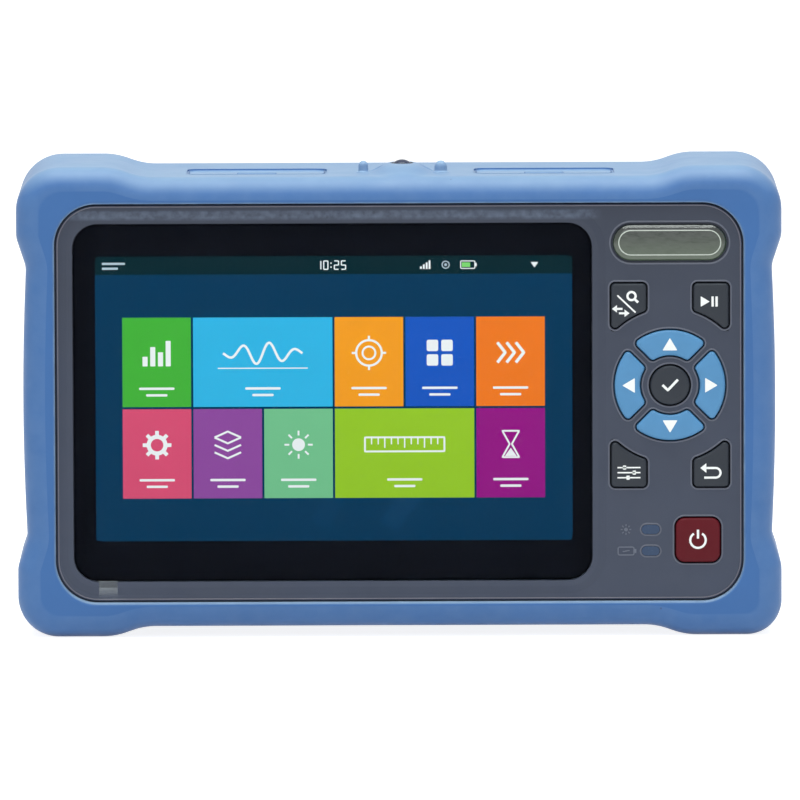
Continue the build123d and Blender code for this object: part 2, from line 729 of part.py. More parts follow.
def stand_pin(side, grow=0.0):
    """Hinge pin at one end of the stand's upper edge."""
    start = Plane.YZ.offset(side * (STAND_W / 2 - STAND_PIN_IN))
    pin = start * Pos(y_at(STAND_PIN_DEPTH), STAND_PIN_Z) * Circle(STAND_PIN_R + grow)
    return extrude(pin, amount=side * (STAND_PIN_L + grow))


def make_kickstand():
    """Flat stand with a window and a round upper edge, hinged on two pins."""
    body = slab(stand_outline(), STAND_DEPTH, STAND_DEPTH + STAND_T)
    side_view = Plane.YZ.offset(-STAND_W / 2) * Pos(y_at(STAND_PIN_DEPTH), STAND_TOP_Z - STAND_H / 2)
    profile = side_view * SlotOverall(STAND_H, STAND_T, rotation=90)
    body = body & extrude(profile, amount=STAND_W)
    window = RectangleRounded(STAND_SLOT_W, STAND_SLOT_H, STAND_R)
    body -= slab(at(0, STAND_TOP_Z - STAND_H / 2 - MID_Z) * window, 0, DEPTH)
    for side in (-1, 1):
        body -= stand_pin(side, STAND_PIN_FIT)
    return body


def make_key(outline, x, z):
    """Key cap with a retaining flange and a plunger behind it."""
    cap = slab(outline(0), FACE_DEPTH - KEY_PROUD, FLANGE_DEPTH)
    cap = fillet(edges_at(cap, FACE_DEPTH - KEY_PROUD), KEY_EDGE)
    flange = slab(outline(FLANGE_GROW), FLANGE_DEPTH, FLANGE_DEPTH + FLANGE_T)
    plunger = disc(x, z, PLUNGER_R, FLANGE_DEPTH, PLUNGER_DEPTH)
    return cap + flange + plunger


def key_board_outline():
    """Keypad board, cut back round the housing screws and drilled for its own."""
    middle = (KEY_BOARD_TOP + KEY_BOARD_LOW) / 2
    board = at(KEY_X, middle) * Rectangle(KEY_BOARD_W, KEY_BOARD_TOP - KEY_BOARD_LOW)
    for x, z in housing_screw_places():
        board -= at(x, z) * Circle(SCREW_POST_R + BOARD_CLEAR)
    return board


def make_keypad_board():
    """Circuit board behind the keys."""
    board = slab(key_board_outline(), KEY_BOARD_DEPTH, KEY_BOARD_DEPTH + BOARD_T)
    for x, z in key_post_places():
        board -= disc(x, z, SMALL_SCREW_R + SCREW_FIT, 0, DEPTH)
    return board


def make_keypad_mat():
    """Silicone mat on the keypad board, open over each dome, light and post."""
    mat = slab(key_board_outline(), MAT_DEPTH, KEY_BOARD_DEPTH)
    for _, x, z in KEYS.values():
        mat -= disc(x, z, MAT_HOLE_R, 0, DEPTH)
    for z in LED_Z:
        mat -= slab(led_outline(z, LED_FLANGE + LED_GAP), 0, DEPTH)
    for x, z in key_post_places():
        mat -= disc(x, z, POST_R + BOARD_CLEAR, 0, DEPTH)
    return mat


def make_dome_switches():
    """Snap dome under each plunger."""
    domes = []
    for _, x, z in KEYS.values():
        foot = Plane.XZ.offset(-y_at(KEY_BOARD_DEPTH)) * at(x, z) * Circle(DOME_R)
        domes.append(extrude(foot, amount=DOME_T, taper=DOME_TAPER))
    return Compound(children=domes)


def make_led_lens(z):
    """Light pipe of one status window."""
    window = slab(led_outline(z), FACE_DEPTH - LED_PROUD, FLANGE_DEPTH)
    window = fillet(edges_at(window, FACE_DEPTH - LED_PROUD), LED_PROUD / 2)
    flange = slab(led_outline(z, LED_FLANGE), FLANGE_DEPTH, FLANGE_DEPTH + FLANGE_T)
    pipe = slab(led_outline(z, -LED_GAP), FLANGE_DEPTH, KEY_BOARD_DEPTH - LED_CHIP_T - LED_GAP)
    return window + flange + pipe


def make_status_leds():
    """Light-emitting chips on the keypad board, one behind each window."""
    chips = []
    for z in LED_Z:
        chip = at(LED_X, z) * Rectangle(*LED_CHIP)
        chips.append(slab(chip, KEY_BOARD_DEPTH - LED_CHIP_T, KEY_BOARD_DEPTH))
    return Compound(children=chips)


def make_badge_dome():
    """Clear dome over the badge plate."""
    near = FACE_DEPTH + BADGE_SUNK - BADGE_PLATE_T - BADGE_DOME_T
    dome = slab(badge_outline(), near, near + BADGE_DOME_T)
    return fillet(edges_at(dome, near), BADGE_DOME_T - BADGE_EDGE)


def make_screen_film():
    """Thin protective film over the glass, with a pull tab at its lower left corner."""
    near = GLASS_DEPTH - FILM_T
    over = FACE_DEPTH - SCREEN_RIM - FILM_T
    film = slab(glass_outline(-FILM_INSET), near, GLASS_DEPTH)
    tab_x = SCREEN_X - GLASS_W / 2 + FILM_TAB_IN
    edge = SCREEN_Z - GLASS_H / 2 - GLASS_GAP / 2
    root = slab(strip(tab_x, edge, edge + 2 * FILM_INSET), near, GLASS_DEPTH)
    step = slab(strip(tab_x, edge, edge + FILM_T), over, GLASS_DEPTH)
    tab = slab(strip(tab_x, edge - FILM_TAB_H, edge + FILM_T), over, over + FILM_T)
    return film + root + step + tab


def strip(x, low, high):
    """Upright strip as wide as the film's pull tab."""
    return at(x, (low + high) / 2) * Rectangle(FILM_TAB_W, high - low)


def make_glass_adhesive():
    """Adhesive frame that holds the glass to its ledge."""
    ring = glass_outline() - display_outline(WINDOW_MARGIN)
    return slab(ring, LEDGE_DEPTH - ADHESIVE_T, LEDGE_DEPTH)


def make_lcd_frame():
    """Metal bracket that clamps the panel and carries the main board."""
    body = slab(display_outline(PANEL_MARGIN), BRACKET_DEPTH, BRACKET_DEPTH + BRACKET_T)
    body -= slab(display_outline(-3 * STANDOFF_INSET), 0, DEPTH)
    for x, z in bracket_tab_places():
        reach = POST_INSET * (1 if z > 0 else -1)
        tab = at(x, z - reach / 2) * Rectangle(4 * POST_R, POST_INSET * 3)
        body += slab(tab, BRACKET_DEPTH, BRACKET_DEPTH + BRACKET_T)
        body -= disc(x, z, SMALL_SCREW_R + SCREW_FIT, 0, DEPTH)
    for x, z in standoff_places():
        body += disc(x, z, STANDOFF_R, BRACKET_DEPTH, MAIN_DEPTH)
        body -= disc(x, z, SMALL_SCREW_R + THREAD_FIT, BRACKET_DEPTH, DEPTH)
    return body


def make_main_board():
    """Main circuit board on the bracket's standoffs."""
    middle = (MAIN_TOP + MAIN_LOW) / 2
    board = at(MAIN_X, middle) * Rectangle(MAIN_W, MAIN_TOP - MAIN_LOW)
    for x, z in housing_screw_places():
        board -= at(x, z) * Circle(SCREW_POST_R + BOARD_CLEAR)
    for x, z in standoff_places():
        board -= at(x, z) * Circle(SMALL_SCREW_R + SCREW_FIT)
    return slab(board, MAIN_DEPTH, MAIN_DEPTH + BOARD_T)


def make_shield_cans():
    """Shield cans behind the main board, under the module, the reel and the cells."""
    half = DISPLAY_W / 2 - STANDOFF_INSET
    left, right = SCREEN_X - half, SCREEN_X + half
    places = (
        (left + CAN_FROM_LEFT[0], MODULE_Z),
        (left + CAN_FROM_LEFT[1], REEL_Z),
        (right - CAN_FROM_RIGHT, CELL_Z),
    )
    cans = []
    for x, z in places:
        can = slab(at(x, z) * RectangleRounded(CAN_W, CAN_H, CAN_R), MAIN_DEPTH + BOARD_T, CAN_BACK)
        cans.append(chamfer(edges_at(can, CAN_BACK), CAN_R / 2))
    return Compound(children=cans)


def make_optical_module():
    """Finned metal box of the laser and receiver."""
    far = MODULE_DEPTH + MODULE_T
    body = slab(at(MODULE_X, MODULE_Z) * RectangleRounded(MODULE_W, MODULE_H, CAN_R), MODULE_DEPTH, far)
    fins = int(MODULE_W / MODULE_FIN_PITCH) - 1
    for index in range(fins):
        x = MODULE_X + (index - (fins - 1) / 2) * MODULE_FIN_PITCH
        slot = at(x, MODULE_Z) * Rectangle(MODULE_FIN_PITCH / 2, MODULE_H + PAST)
        body -= slab(slot, far - MODULE_FIN_DEEP, far + PAST)
    return body


def cell_centres():
    """Heights of the cells' axes, counted from the middle of the face."""
    return [CELL_Z + (i - (CELL_COUNT - 1) / 2) * CELL_PITCH for i in range(CELL_COUNT)]


def make_battery_cells():
    """Lithium cells side by side, each with its raised positive cap."""
    cells = []
    for z in cell_centres():
        start = Plane.YZ.offset(CELL_X - CELL_L / 2) * Pos(y_at(CELL_DEPTH), MID_Z + z)
        can = chamfer(extrude(start * Circle(CELL_R), amount=CELL_L).edges(), CELL_CAP_T / 2)
        cap = extrude(start * Circle(CELL_CAP_R), amount=CELL_L + CELL_CAP_T)
        cells.append(can + cap)
    return Compound(children=cells)


def make_battery_holder():
    """Cradle round the cells, open at the back."""
    long_side = CELL_L + CELL_CAP_T + 4 * INSIDE_GAP
    tall_side = (CELL_COUNT - 1) * CELL_PITCH + 2 * CELL_R + 2 * INSIDE_GAP
    place = at(CELL_X + CELL_CAP_T / 2, CELL_Z)
    outer = slab(place * Rectangle(long_side + 2 * HOLDER_WALL, tall_side + 2 * HOLDER_WALL),
                 MODULE_DEPTH, MODULE_DEPTH + HOLDER_REACH)
    return outer - slab(place * Rectangle(long_side, tall_side), MODULE_DEPTH + HOLDER_WALL, DEPTH)


def make_fibre_tray():
    """Flanged reel for the launch fibre."""
    body = disc(REEL_X, REEL_Z, REEL_R, MODULE_DEPTH, MODULE_DEPTH + REEL_T)
    ring = at(REEL_X, REEL_Z) * (Circle(REEL_R + PAST) - Circle(REEL_HUB_R))
    body -= slab(ring, MODULE_DEPTH + REEL_FLANGE_T, MODULE_DEPTH + REEL_T - REEL_FLANGE_T)
    return body - disc(REEL_X, REEL_Z, REEL_HOLE_R, 0, DEPTH)


def make_fibre_coil():
    """Bundle of launch fibre wound round the reel's hub."""
    centre = Pos(REEL_X, y_at(MODULE_DEPTH + REEL_T / 2), MID_Z + REEL_Z)
    return centre * Rot(90, 0, 0) * Torus(REEL_HUB_R + COIL_GAP + COIL_R, COIL_R)


def make_port_tray(bay_x, cutouts):
    """Bay under one flap, with a floor cut for its ports."""
    middle = Pos(bay_x, y_at(BAY_DEPTH))
    low = BAY_FLOOR - TRAY_FLOOR
    body = column(middle * bay_outline(TRAY_WALL), low, INNER_TOP)
    body += column(middle * bay_outline(TRAY_WALL + TRAY_FLANGE), INNER_TOP - TRAY_FLANGE_T, INNER_TOP)
    body -= column(middle * bay_outline(), BAY_FLOOR, INNER_TOP + PAST)
    for cutout in cutouts:
        body -= column(middle * cutout, low - PAST, BAY_FLOOR + PAST)
    return body


def round_port(offset):
    """Floor opening for a threaded barrel."""
    return Pos(offset, 0) * Circle(BARREL_R + PORT_GAP)


def box_port(offset, width, thick):
    """Floor opening for a rectangular socket."""
    return Pos(offset, 0) * Rectangle(width + 2 * PORT_GAP, thick + 2 * PORT_GAP)


def make_adapter(bay_x, offset):
    """Threaded barrel with a collar under the tray and a socket for its sleeve."""
    middle = Pos(bay_x + offset, y_at(BAY_DEPTH))
    low = MODULE_TOP
    body = column(middle * Circle(BARREL_R), low, PORT_TOP)
    body = chamfer(body.edges().group_by(Axis.Z)[-1], BARREL_CHAMFER)
    collar_top = BAY_FLOOR - TRAY_FLOOR - PORT_GAP
    body += column(middle * Circle(BARREL_COLLAR_R), collar_top - BARREL_COLLAR_T, collar_top)
    groove = Circle(BARREL_GROOVE_R) - Circle(BARREL_POST_R)
    body -= column(middle * groove, PORT_TOP - BARREL_GROOVE_T, PORT_TOP + PAST)
    bore = middle * Circle(FERRULE_R + SLEEVE_WALL)
    return body - column(bore, PORT_TOP - FERRULE_DEEP, PORT_TOP + PAST)


def make_ferrule_sleeves():
    """Ceramic sleeve in each barrel."""
    sleeves = []
    for bay_x, offset in BARRELS:
        ring = Circle(FERRULE_R + SLEEVE_WALL) - Circle(FERRULE_R)
        sleeve = Pos(bay_x + offset, y_at(BAY_DEPTH)) * ring
        sleeves.append(column(sleeve, PORT_TOP - FERRULE_DEEP, PORT_TOP))
    return Compound(children=sleeves)


def make_adapter_nuts():
    """Hexagon nut on each barrel, above the tray floor."""
    nuts = []
    for bay_x, offset in BARRELS:
        hexagon = RegularPolygon(NUT_FLATS / 2, 6, major_radius=False, rotation=30)
        nut = Pos(bay_x + offset, y_at(BAY_DEPTH)) * (hexagon - Circle(BARREL_R + THREAD_FIT))
        nuts.append(column(nut, BAY_FLOOR, BAY_FLOOR + NUT_T))
    return Compound(children=nuts)


def make_rj45_jack():
    """Network socket with its latch notch."""
    middle = Pos(BAY_X[1] + JACK_AT, y_at(BAY_DEPTH))
    body = column(middle * Rectangle(JACK_W, JACK_T), PORT_TOP - JACK_TALL, PORT_TOP)
    mouth = Rectangle(JACK_OPEN_W, JACK_OPEN_T)
    latch = Pos(0, -(JACK_OPEN_T + JACK_LATCH_T) / 2) * Rectangle(JACK_LATCH_W, JACK_LATCH_T)
    return body - column(middle * (mouth + latch), PORT_TOP - JACK_OPEN_DEEP, PORT_TOP + PAST)


def make_usb_jack():
    """Reversible charging socket, with its tongue."""
    middle = Pos(BAY_X[0] + USB_AT, y_at(BAY_DEPTH))
    outer = SlotOverall(USB_W, USB_T, rotation=90)
    inner = SlotOverall(USB_W - 2 * USB_WALL, USB_T - 2 * USB_WALL, rotation=90)
    body = column(middle * outer, PORT_TOP - USB_TALL, PORT_TOP)
    body -= column(middle * inner, PORT_TOP - USB_DEEP, PORT_TOP + PAST)
    tongue = Rectangle(USB_TONGUE_T, USB_W - 6 * USB_WALL)
    return body + column(middle * tongue, PORT_TOP - USB_DEEP - USB_WALL, PORT_TOP - USB_END_GAP)


def make_torch_bezel():
    """Flanged ring that holds the torch lens in the shell's top wall."""
    seat = INNER_TOP - TORCH_SEAT_T
    top = BOOT_TOP + TORCH_RING_RISE
    body = column(torch_place() * Circle(TORCH_BEZEL_R), seat, top)
    body += column(torch_place() * Circle(TORCH_SEAT_R), seat, INNER_TOP)
    return body - column(torch_place() * Circle(TORCH_LENS_R + THREAD_FIT), seat - PAST, top + PAST)


def make_torch_lens():
    """Clear domed plug in the torch ring, hollow over the light."""
    seat = INNER_TOP - TORCH_SEAT_T
    body = column(torch_place() * Circle(TORCH_LENS_R), seat, BOOT_TOP + TORCH_RISE)
    body = fillet(body.edges().group_by(Axis.Z)[-1], TORCH_LENS_R - LENS_TIP)
    hollow = torch_place() * Circle(TORCH_LENS_R - TORCH_LENS_WALL)
    return body - column(hollow, seat - PAST, INNER_TOP + TORCH_SEAT_T)


def make_torch_led():
    """Light-emitting chip on its round board, under the torch lens."""
    seat = INNER_TOP - TORCH_SEAT_T
    low = seat - TORCH_BOARD_T
    board = column(torch_place() * Circle(TORCH_BOARD_R), low, seat)
    return board + column(torch_place() * Circle(TORCH_CHIP_R), low, seat + TORCH_CHIP_T)


def make_speaker():
    """Round buzzer behind its grille in the rear wall."""
    far = INNER_BACK - INSIDE_GAP / 2
    body = disc(SPEAKER_X, SPEAKER_Z, SPEAKER_R, far - SPEAKER_T, far)
    rim = disc(SPEAKER_X, SPEAKER_Z, SPEAKER_R - SPEAKER_RIM, far - SPEAKER_RIM_T, DEPTH)
    return body - rim


def grille_places():
    """Hexagonal pattern of sound holes over the buzzer."""
    places = [(SPEAKER_X, SPEAKER_Z)]
    for turn in range(6):
        angle = math.radians(60 * turn)
        x = SPEAKER_X + GRILLE_PITCH * math.cos(angle)
        places.append((x, SPEAKER_Z + GRILLE_PITCH * math.sin(angle)))
    return places


def small_screw(x, z, seat):
    """Small pan-head screw that enters from the back."""
    head = disc(x, z, SMALL_HEAD_R, seat, seat + SMALL_HEAD_T)
    return head + disc(x, z, SMALL_SCREW_R, seat - SMALL_SCREW_L, seat)


def make_board_screws():
    """Screws of the keypad board, the bracket and the main board."""
    screws = [small_screw(x, z, KEY_BOARD_DEPTH + BOARD_T) for x, z in key_post_places()]
    screws += [small_screw(x, z, BRACKET_DEPTH + BRACKET_T) for x, z in bracket_tab_places()]
    screws += [small_screw(x, z, MAIN_DEPTH + BOARD_T) for x, z in standoff_places()]
    return Compound(children=screws)


def make_housing_screws():
    """Socket-head screws that join the shells from the back."""
    screws = []
    for x, z in housing_screw_places():
        screw = disc(x, z, SCREW_HEAD_R, SCREW_SEAT_DEPTH, SCREW_SEAT_DEPTH + SCREW_HEAD_T)
        screw += disc(x, z, SCREW_R, SCREW_SEAT_DEPTH - SCREW_L, SCREW_SEAT_DEPTH)
        socket = at(x, z) * RegularPolygon(SCREW_HEX_R, 6)
        top = SCREW_SEAT_DEPTH + SCREW_HEAD_T
        screws.append(screw - slab(socket, top - SCREW_HEX_DEEP, top + PAST))
    return Compound(children=screws)


def make_housing_gasket():
    """Seal in the groove between the two shells."""
    ring = housing_outline((SHELL_WALL - GASKET_W) / 2) - housing_outline((SHELL_WALL + GASKET_W) / 2)
    return slab(ring, SPLIT_DEPTH, SPLIT_DEPTH + GASKET_T - GASKET_FIT)


def make_kickstand_pins():
    """Hinge pins at both ends of the stand's upper edge."""
    return Compound(children=[stand_pin(-1), stand_pin(1)])


os.makedirs("parts", exist_ok=True)
save("boot", make_boot())
save("port_flap_left", make_port_flap(BAY_X[0]))
save("port_flap_right", make_port_flap(BAY_X[1]))
save("front_shell", make_front_shell())
save("rear_shell", make_rear_shell())
save("housing_gasket", make_housing_gasket())
save("housing_screws", make_housing_screws())
save("cover_glass", slab(glass_outline(), GLASS_DEPTH, GLASS_DEPTH + GLASS_T))
save("screen_film", make_screen_film())
save("glass_adhesive", make_glass_adhesive())
save("lcd_panel", slab(display_outline(PANEL_MARGIN), PANEL_DEPTH, BRACKET_DEPTH))
save("lcd_frame", make_lcd_frame())
for name, (outline, x, z) in KEYS.items():
    save(name, make_key(outline, x, z))
save("keypad_mat", make_keypad_mat())
save("keypad_board", make_keypad_board())
save("dome_switches", make_dome_switches())
save("led_lens_power", make_led_lens(LED_Z[0]))
save("led_lens_charge", make_led_lens(LED_Z[1]))
save("status_leds", make_status_leds())
badge_back = FACE_DEPTH + BADGE_SUNK
save("badge_plate", slab(badge_outline(), badge_back - BADGE_PLATE_T, badge_back))
save("badge_dome", make_badge_dome())
save("main_board", make_main_board())
save("shield_cans", make_shield_cans())
save("board_screws", make_board_screws())
save("optical_module", make_optical_module())
save("fibre_tray", make_fibre_tray())
save("fibre_coil", make_fibre_coil())
save("battery_cells", make_battery_cells())
save("battery_holder", make_battery_holder())
save("speaker", make_speaker())
left_ports = [round_port(OTDR_AT), round_port(OPM_AT), box_port(USB_AT, USB_T, USB_W)]
right_ports = [round_port(VFL_AT), box_port(JACK_AT, JACK_W, JACK_T)]
save("port_tray_left", make_port_tray(BAY_X[0], left_ports))
save("port_tray_right", make_port_tray(BAY_X[1], right_ports))
save("otdr_adapter", make_adapter(*BARRELS[0]))
save("opm_adapter", make_adapter(*BARRELS[1]))
save("vfl_adapter", make_adapter(*BARRELS[2]))
save("ferrule_sleeves", make_ferrule_sleeves())
save("adapter_nuts", make_adapter_nuts())
save("rj45_jack", make_rj45_jack())
save("usb_jack", make_usb_jack())
save("torch_bezel", make_torch_bezel())
save("torch_lens", make_torch_lens())
save("torch_led", make_torch_led())
save("kickstand", make_kickstand())
save("kickstand_pins", make_kickstand_pins())
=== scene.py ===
"""Looks of a handheld optical time domain reflectometer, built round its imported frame.

Lengths are metres. X runs to the right, the face looks along -Y and Z is up.
A depth is counted from the boot's front plane towards the back.
"""

import logging
import math
from dataclasses import dataclass
from enum import Enum
from typing import Callable, Iterable, Sequence

import bmesh
import bpy
import numpy as np
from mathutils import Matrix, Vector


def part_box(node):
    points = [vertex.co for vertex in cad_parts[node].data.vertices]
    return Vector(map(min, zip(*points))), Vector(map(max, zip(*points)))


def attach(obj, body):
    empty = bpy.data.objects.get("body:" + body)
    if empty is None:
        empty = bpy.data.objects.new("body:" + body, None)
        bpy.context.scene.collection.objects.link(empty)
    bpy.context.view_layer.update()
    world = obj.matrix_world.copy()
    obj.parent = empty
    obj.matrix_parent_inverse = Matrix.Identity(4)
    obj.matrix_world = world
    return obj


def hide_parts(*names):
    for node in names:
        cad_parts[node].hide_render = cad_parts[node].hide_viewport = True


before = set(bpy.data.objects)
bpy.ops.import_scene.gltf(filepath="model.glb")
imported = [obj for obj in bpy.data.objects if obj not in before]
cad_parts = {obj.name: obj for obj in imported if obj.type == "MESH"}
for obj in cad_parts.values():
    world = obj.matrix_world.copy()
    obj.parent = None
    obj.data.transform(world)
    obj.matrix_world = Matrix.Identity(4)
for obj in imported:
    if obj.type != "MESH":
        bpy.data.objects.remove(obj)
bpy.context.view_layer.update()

LOG = logging.getLogger("tester")
MM = 0.001
Array = np.ndarray
Colour = tuple[float, float, float]

# Places shared by the sub-assemblies
FRONT_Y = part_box("boot")[0].y
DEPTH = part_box("boot")[1].y - FRONT_Y
HEIGHT = 107.0 * MM
MID_Z = HEIGHT / 2
BOOT_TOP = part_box("port_flap_left")[1].z
HOUSING_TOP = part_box("rear_shell")[1].z
FACE_DEPTH = 1.3 * MM
TORCH_X = 0.8 * MM
TORCH_DEPTH = 15.5 * MM
CASE = "case"
# Edges turned by more degrees than this stay crisp
SHARP = 38.0


class Grain(Enum):
    """Kinds of surface relief that a finish can carry."""

    MOULDED = "moulded"
    LEATHERY = "leathery"
    BRUSHED = "brushed"
    SMOOTH = "smooth"


def linear(red: int, green: int, blue: int) -> Colour:
    """Turn a display colour of 0 to 255 into the linear one that shaders take.

    Args:
        red, green, blue: the colour as a screen shows it.

    Returns:
        The same colour in linear light.
    """
    value = np.array((red, green, blue)) / 255.0
    dark = value / 12.92
    bright = ((value + 0.055) / 1.055) ** 2.4
    return tuple(float(v) for v in np.where(value <= 0.04045, dark, bright))


class NodeTree:
    """Short hand for building the nodes of one material or of the world."""

    def __init__(self, owner: bpy.types.Material | bpy.types.World) -> None:
        """Start with no nodes.

        Args:
            owner: the material or world that the nodes belong to.
        """
        self.owner = owner
        owner.use_nodes = True
        self.tree = owner.node_tree
        self.tree.nodes.clear()

    def feed(self, socket: bpy.types.NodeSocket, value: object) -> None:
        """Link a socket or set its value.

        Args:
            socket: the input to feed.
            value: an output to link, a colour of three parts, or a plain value.
        """
        if isinstance(value, bpy.types.NodeSocket):
            self.tree.links.new(value, socket)
        elif isinstance(value, tuple) and len(value) == 3 and socket.type == "RGBA":
            socket.default_value = (*value, 1.0)
        else:
            socket.default_value = value

    def add(self, kind: str, options: dict | None = None, **inputs: object) -> bpy.types.Node:
        """Add a node.

        Args:
            kind: the node's type without its ShaderNode prefix.
            options: properties of the node itself.
            inputs: what feeds its sockets, by name with underscores for spaces, or as at0, at1 and so on.

        Returns:
            The new node.
        """
        node = self.tree.nodes.new("ShaderNode" + kind)
        for key, value in (options or {}).items():
            setattr(node, key, value)
        for key, value in inputs.items():
            self.feed(node.inputs[int(key[2:]) if key.startswith("at") else key.replace("_", " ")], value)
        return node

    def place(self) -> bpy.types.NodeSocket:
        """Object coordinates, in metres."""
        return self.add("TexCoord").outputs["Object"]

    def height(self) -> bpy.types.NodeSocket:
        """Height part of the object coordinates."""
        return self.add("SeparateXYZ", Vector=self.place()).outputs["Z"]

    def mark(self, name: str, output: str = "Fac") -> bpy.types.NodeSocket:
        """Attribute that the piece carries under a name."""
        return self.add("Attribute", {"attribute_name": name}).outputs[output]

    def noise(self, scale: float, detail: float = 2.0,
              place: bpy.types.NodeSocket | None = None) -> bpy.types.NodeSocket:
        """Soft noise with so many cells in a metre."""
        node = self.add("TexNoise", Vector=place or self.place(), Scale=scale, Detail=detail, Roughness=0.55)
        return node.outputs["Fac"]

    def spread(self, source: bpy.types.NodeSocket, low: float, high: float,
               start: float = 0.3, end: float = 0.7) -> bpy.types.NodeSocket:
        """Map a value from its start and end to low and high."""
        node = self.add("MapRange", Value=source, at1=start, at2=end, at3=low, at4=high)
        return node.outputs["Result"]

    def blend(self, factor: bpy.types.NodeSocket, first: object, second: object) -> bpy.types.NodeSocket:
        """Mix two colours."""
        return self.add("Mix", {"data_type": "RGBA"}, Factor=factor, at6=first, at7=second).outputs[2]

    def maths(self, operation: str, first: object, second: object = 0.0) -> bpy.types.NodeSocket:
        """Work out one sum of two values."""
        return self.add("Math", {"operation": operation}, at0=first, at1=second).outputs[0]

    def scaled(self, vector: bpy.types.NodeSocket, share: bpy.types.NodeSocket) -> bpy.types.NodeSocket:
        """Multiply a colour or vector by a value."""
        return self.add("VectorMath", {"operation": "SCALE"}, at0=vector, Scale=share).outputs["Vector"]

    def output(self, shader: bpy.types.NodeSocket) -> bpy.types.Material | bpy.types.World:
        """Close the tree with its surface shader."""
        self.add("OutputWorld" if isinstance(self.owner, bpy.types.World) else "OutputMaterial", Surface=shader)
        return self.owner


@dataclass(frozen=True)
class Finish:
    """Moulded, coated or metal surface.

    A soft cloud varies its colour, a second one its gloss, and a fine relief roughens it.
    """

    name: str
    slot: str
    colour: Colour
    roughness: float = 0.5
    metallic: float = 0.0
    specular: float = 0.5
    cloud: float = 0.05
    cloud_scale: float = 70.0
    gloss_spread: float = 0.06
    grain: Grain = Grain.MOULDED
    grain_scale: float = 2600.0
    grain_depth: float = 0.012 * MM
    sheen: float = 0.0
    sheen_roughness: float = 0.35
    coat: float = 0.0
    coat_roughness: float = 0.07
    transmission: float = 0.0
    ior: float = 1.5

    def relief(self, tree: NodeTree) -> bpy.types.NodeSocket:
        """Height pattern of the finish's grain.

        Args:
            tree: the material's nodes.

        Returns:
            The pattern's height, from 0 to 1.
        """
        if self.grain is Grain.BRUSHED:
            stretched = tree.add("Mapping", Vector=tree.place(), Scale=(1.0, 1.0, 0.04))
            return tree.noise(self.grain_scale, 3.0, stretched.outputs["Vector"])
        if self.grain is Grain.LEATHERY:
            cells = tree.add("TexVoronoi", {"feature": "SMOOTH_F1"}, Vector=tree.place(), Scale=self.grain_scale)
            return cells.outputs["Distance"]
        return tree.noise(self.grain_scale, 3.0)

    def tint(self, tree: NodeTree) -> bpy.types.NodeSocket:
        """Base colour with its soft variation.

        Args:
            tree: the material's nodes.

        Returns:
            The colour.
        """
        dark = tuple(c * (1 - self.cloud) for c in self.colour)
        light = tuple(c * (1 + self.cloud) for c in self.colour)
        return tree.blend(tree.spread(tree.noise(self.cloud_scale, 4.0), 0.0, 1.0), dark, light)

    def shader(self, tree: NodeTree) -> bpy.types.Node:
        """Surface shader with its colour, gloss and relief.

        Args:
            tree: the material's nodes.

        Returns:
            The shader node.
        """
        gloss = tree.spread(tree.noise(self.cloud_scale * 3, 3.0),
                            self.roughness - self.gloss_spread, self.roughness + self.gloss_spread)
        shader = tree.add("BsdfPrincipled", Base_Color=self.tint(tree), Roughness=gloss)
        if self.grain is not Grain.SMOOTH:
            bump = tree.add("Bump", Height=self.relief(tree), Distance=self.grain_depth, Strength=1.0)
            tree.feed(shader.inputs["Normal"], bump.outputs["Normal"])
            tree.feed(shader.inputs["Coat Normal"], bump.outputs["Normal"])
        self.fix(shader)
        return shader

    def fix(self, shader: bpy.types.Node) -> None:
        """Set what is the same all over the surface on the shader itself.

        Args:
            shader: the principled shader.
        """
        shader.inputs["Metallic"].default_value = self.metallic
        shader.inputs["Specular IOR Level"].default_value = self.specular
        shader.inputs["Sheen Weight"].default_value = self.sheen
        shader.inputs["Sheen Roughness"].default_value = self.sheen_roughness
        shader.inputs["Coat Weight"].default_value = self.coat
        shader.inputs["Coat Roughness"].default_value = self.coat_roughness
        shader.inputs["Transmission Weight"].default_value = self.transmission
        shader.inputs["IOR"].default_value = self.ior

    def material(self) -> bpy.types.Material:
        """Build the finish once, and give the same material again after that.

        Returns:
            The material.
        """
        found = bpy.data.materials.get(self.name)
        if found:
            return found
        tree = NodeTree(bpy.data.materials.new(self.name))
        return tree.output(self.shader(tree).outputs["BSDF"])

    def dress(self, piece: bpy.types.Object) -> None:
        """Put the finish on a piece, in place of what it had."""
        piece.data.materials.clear()
        piece.data.materials.append(self.material())


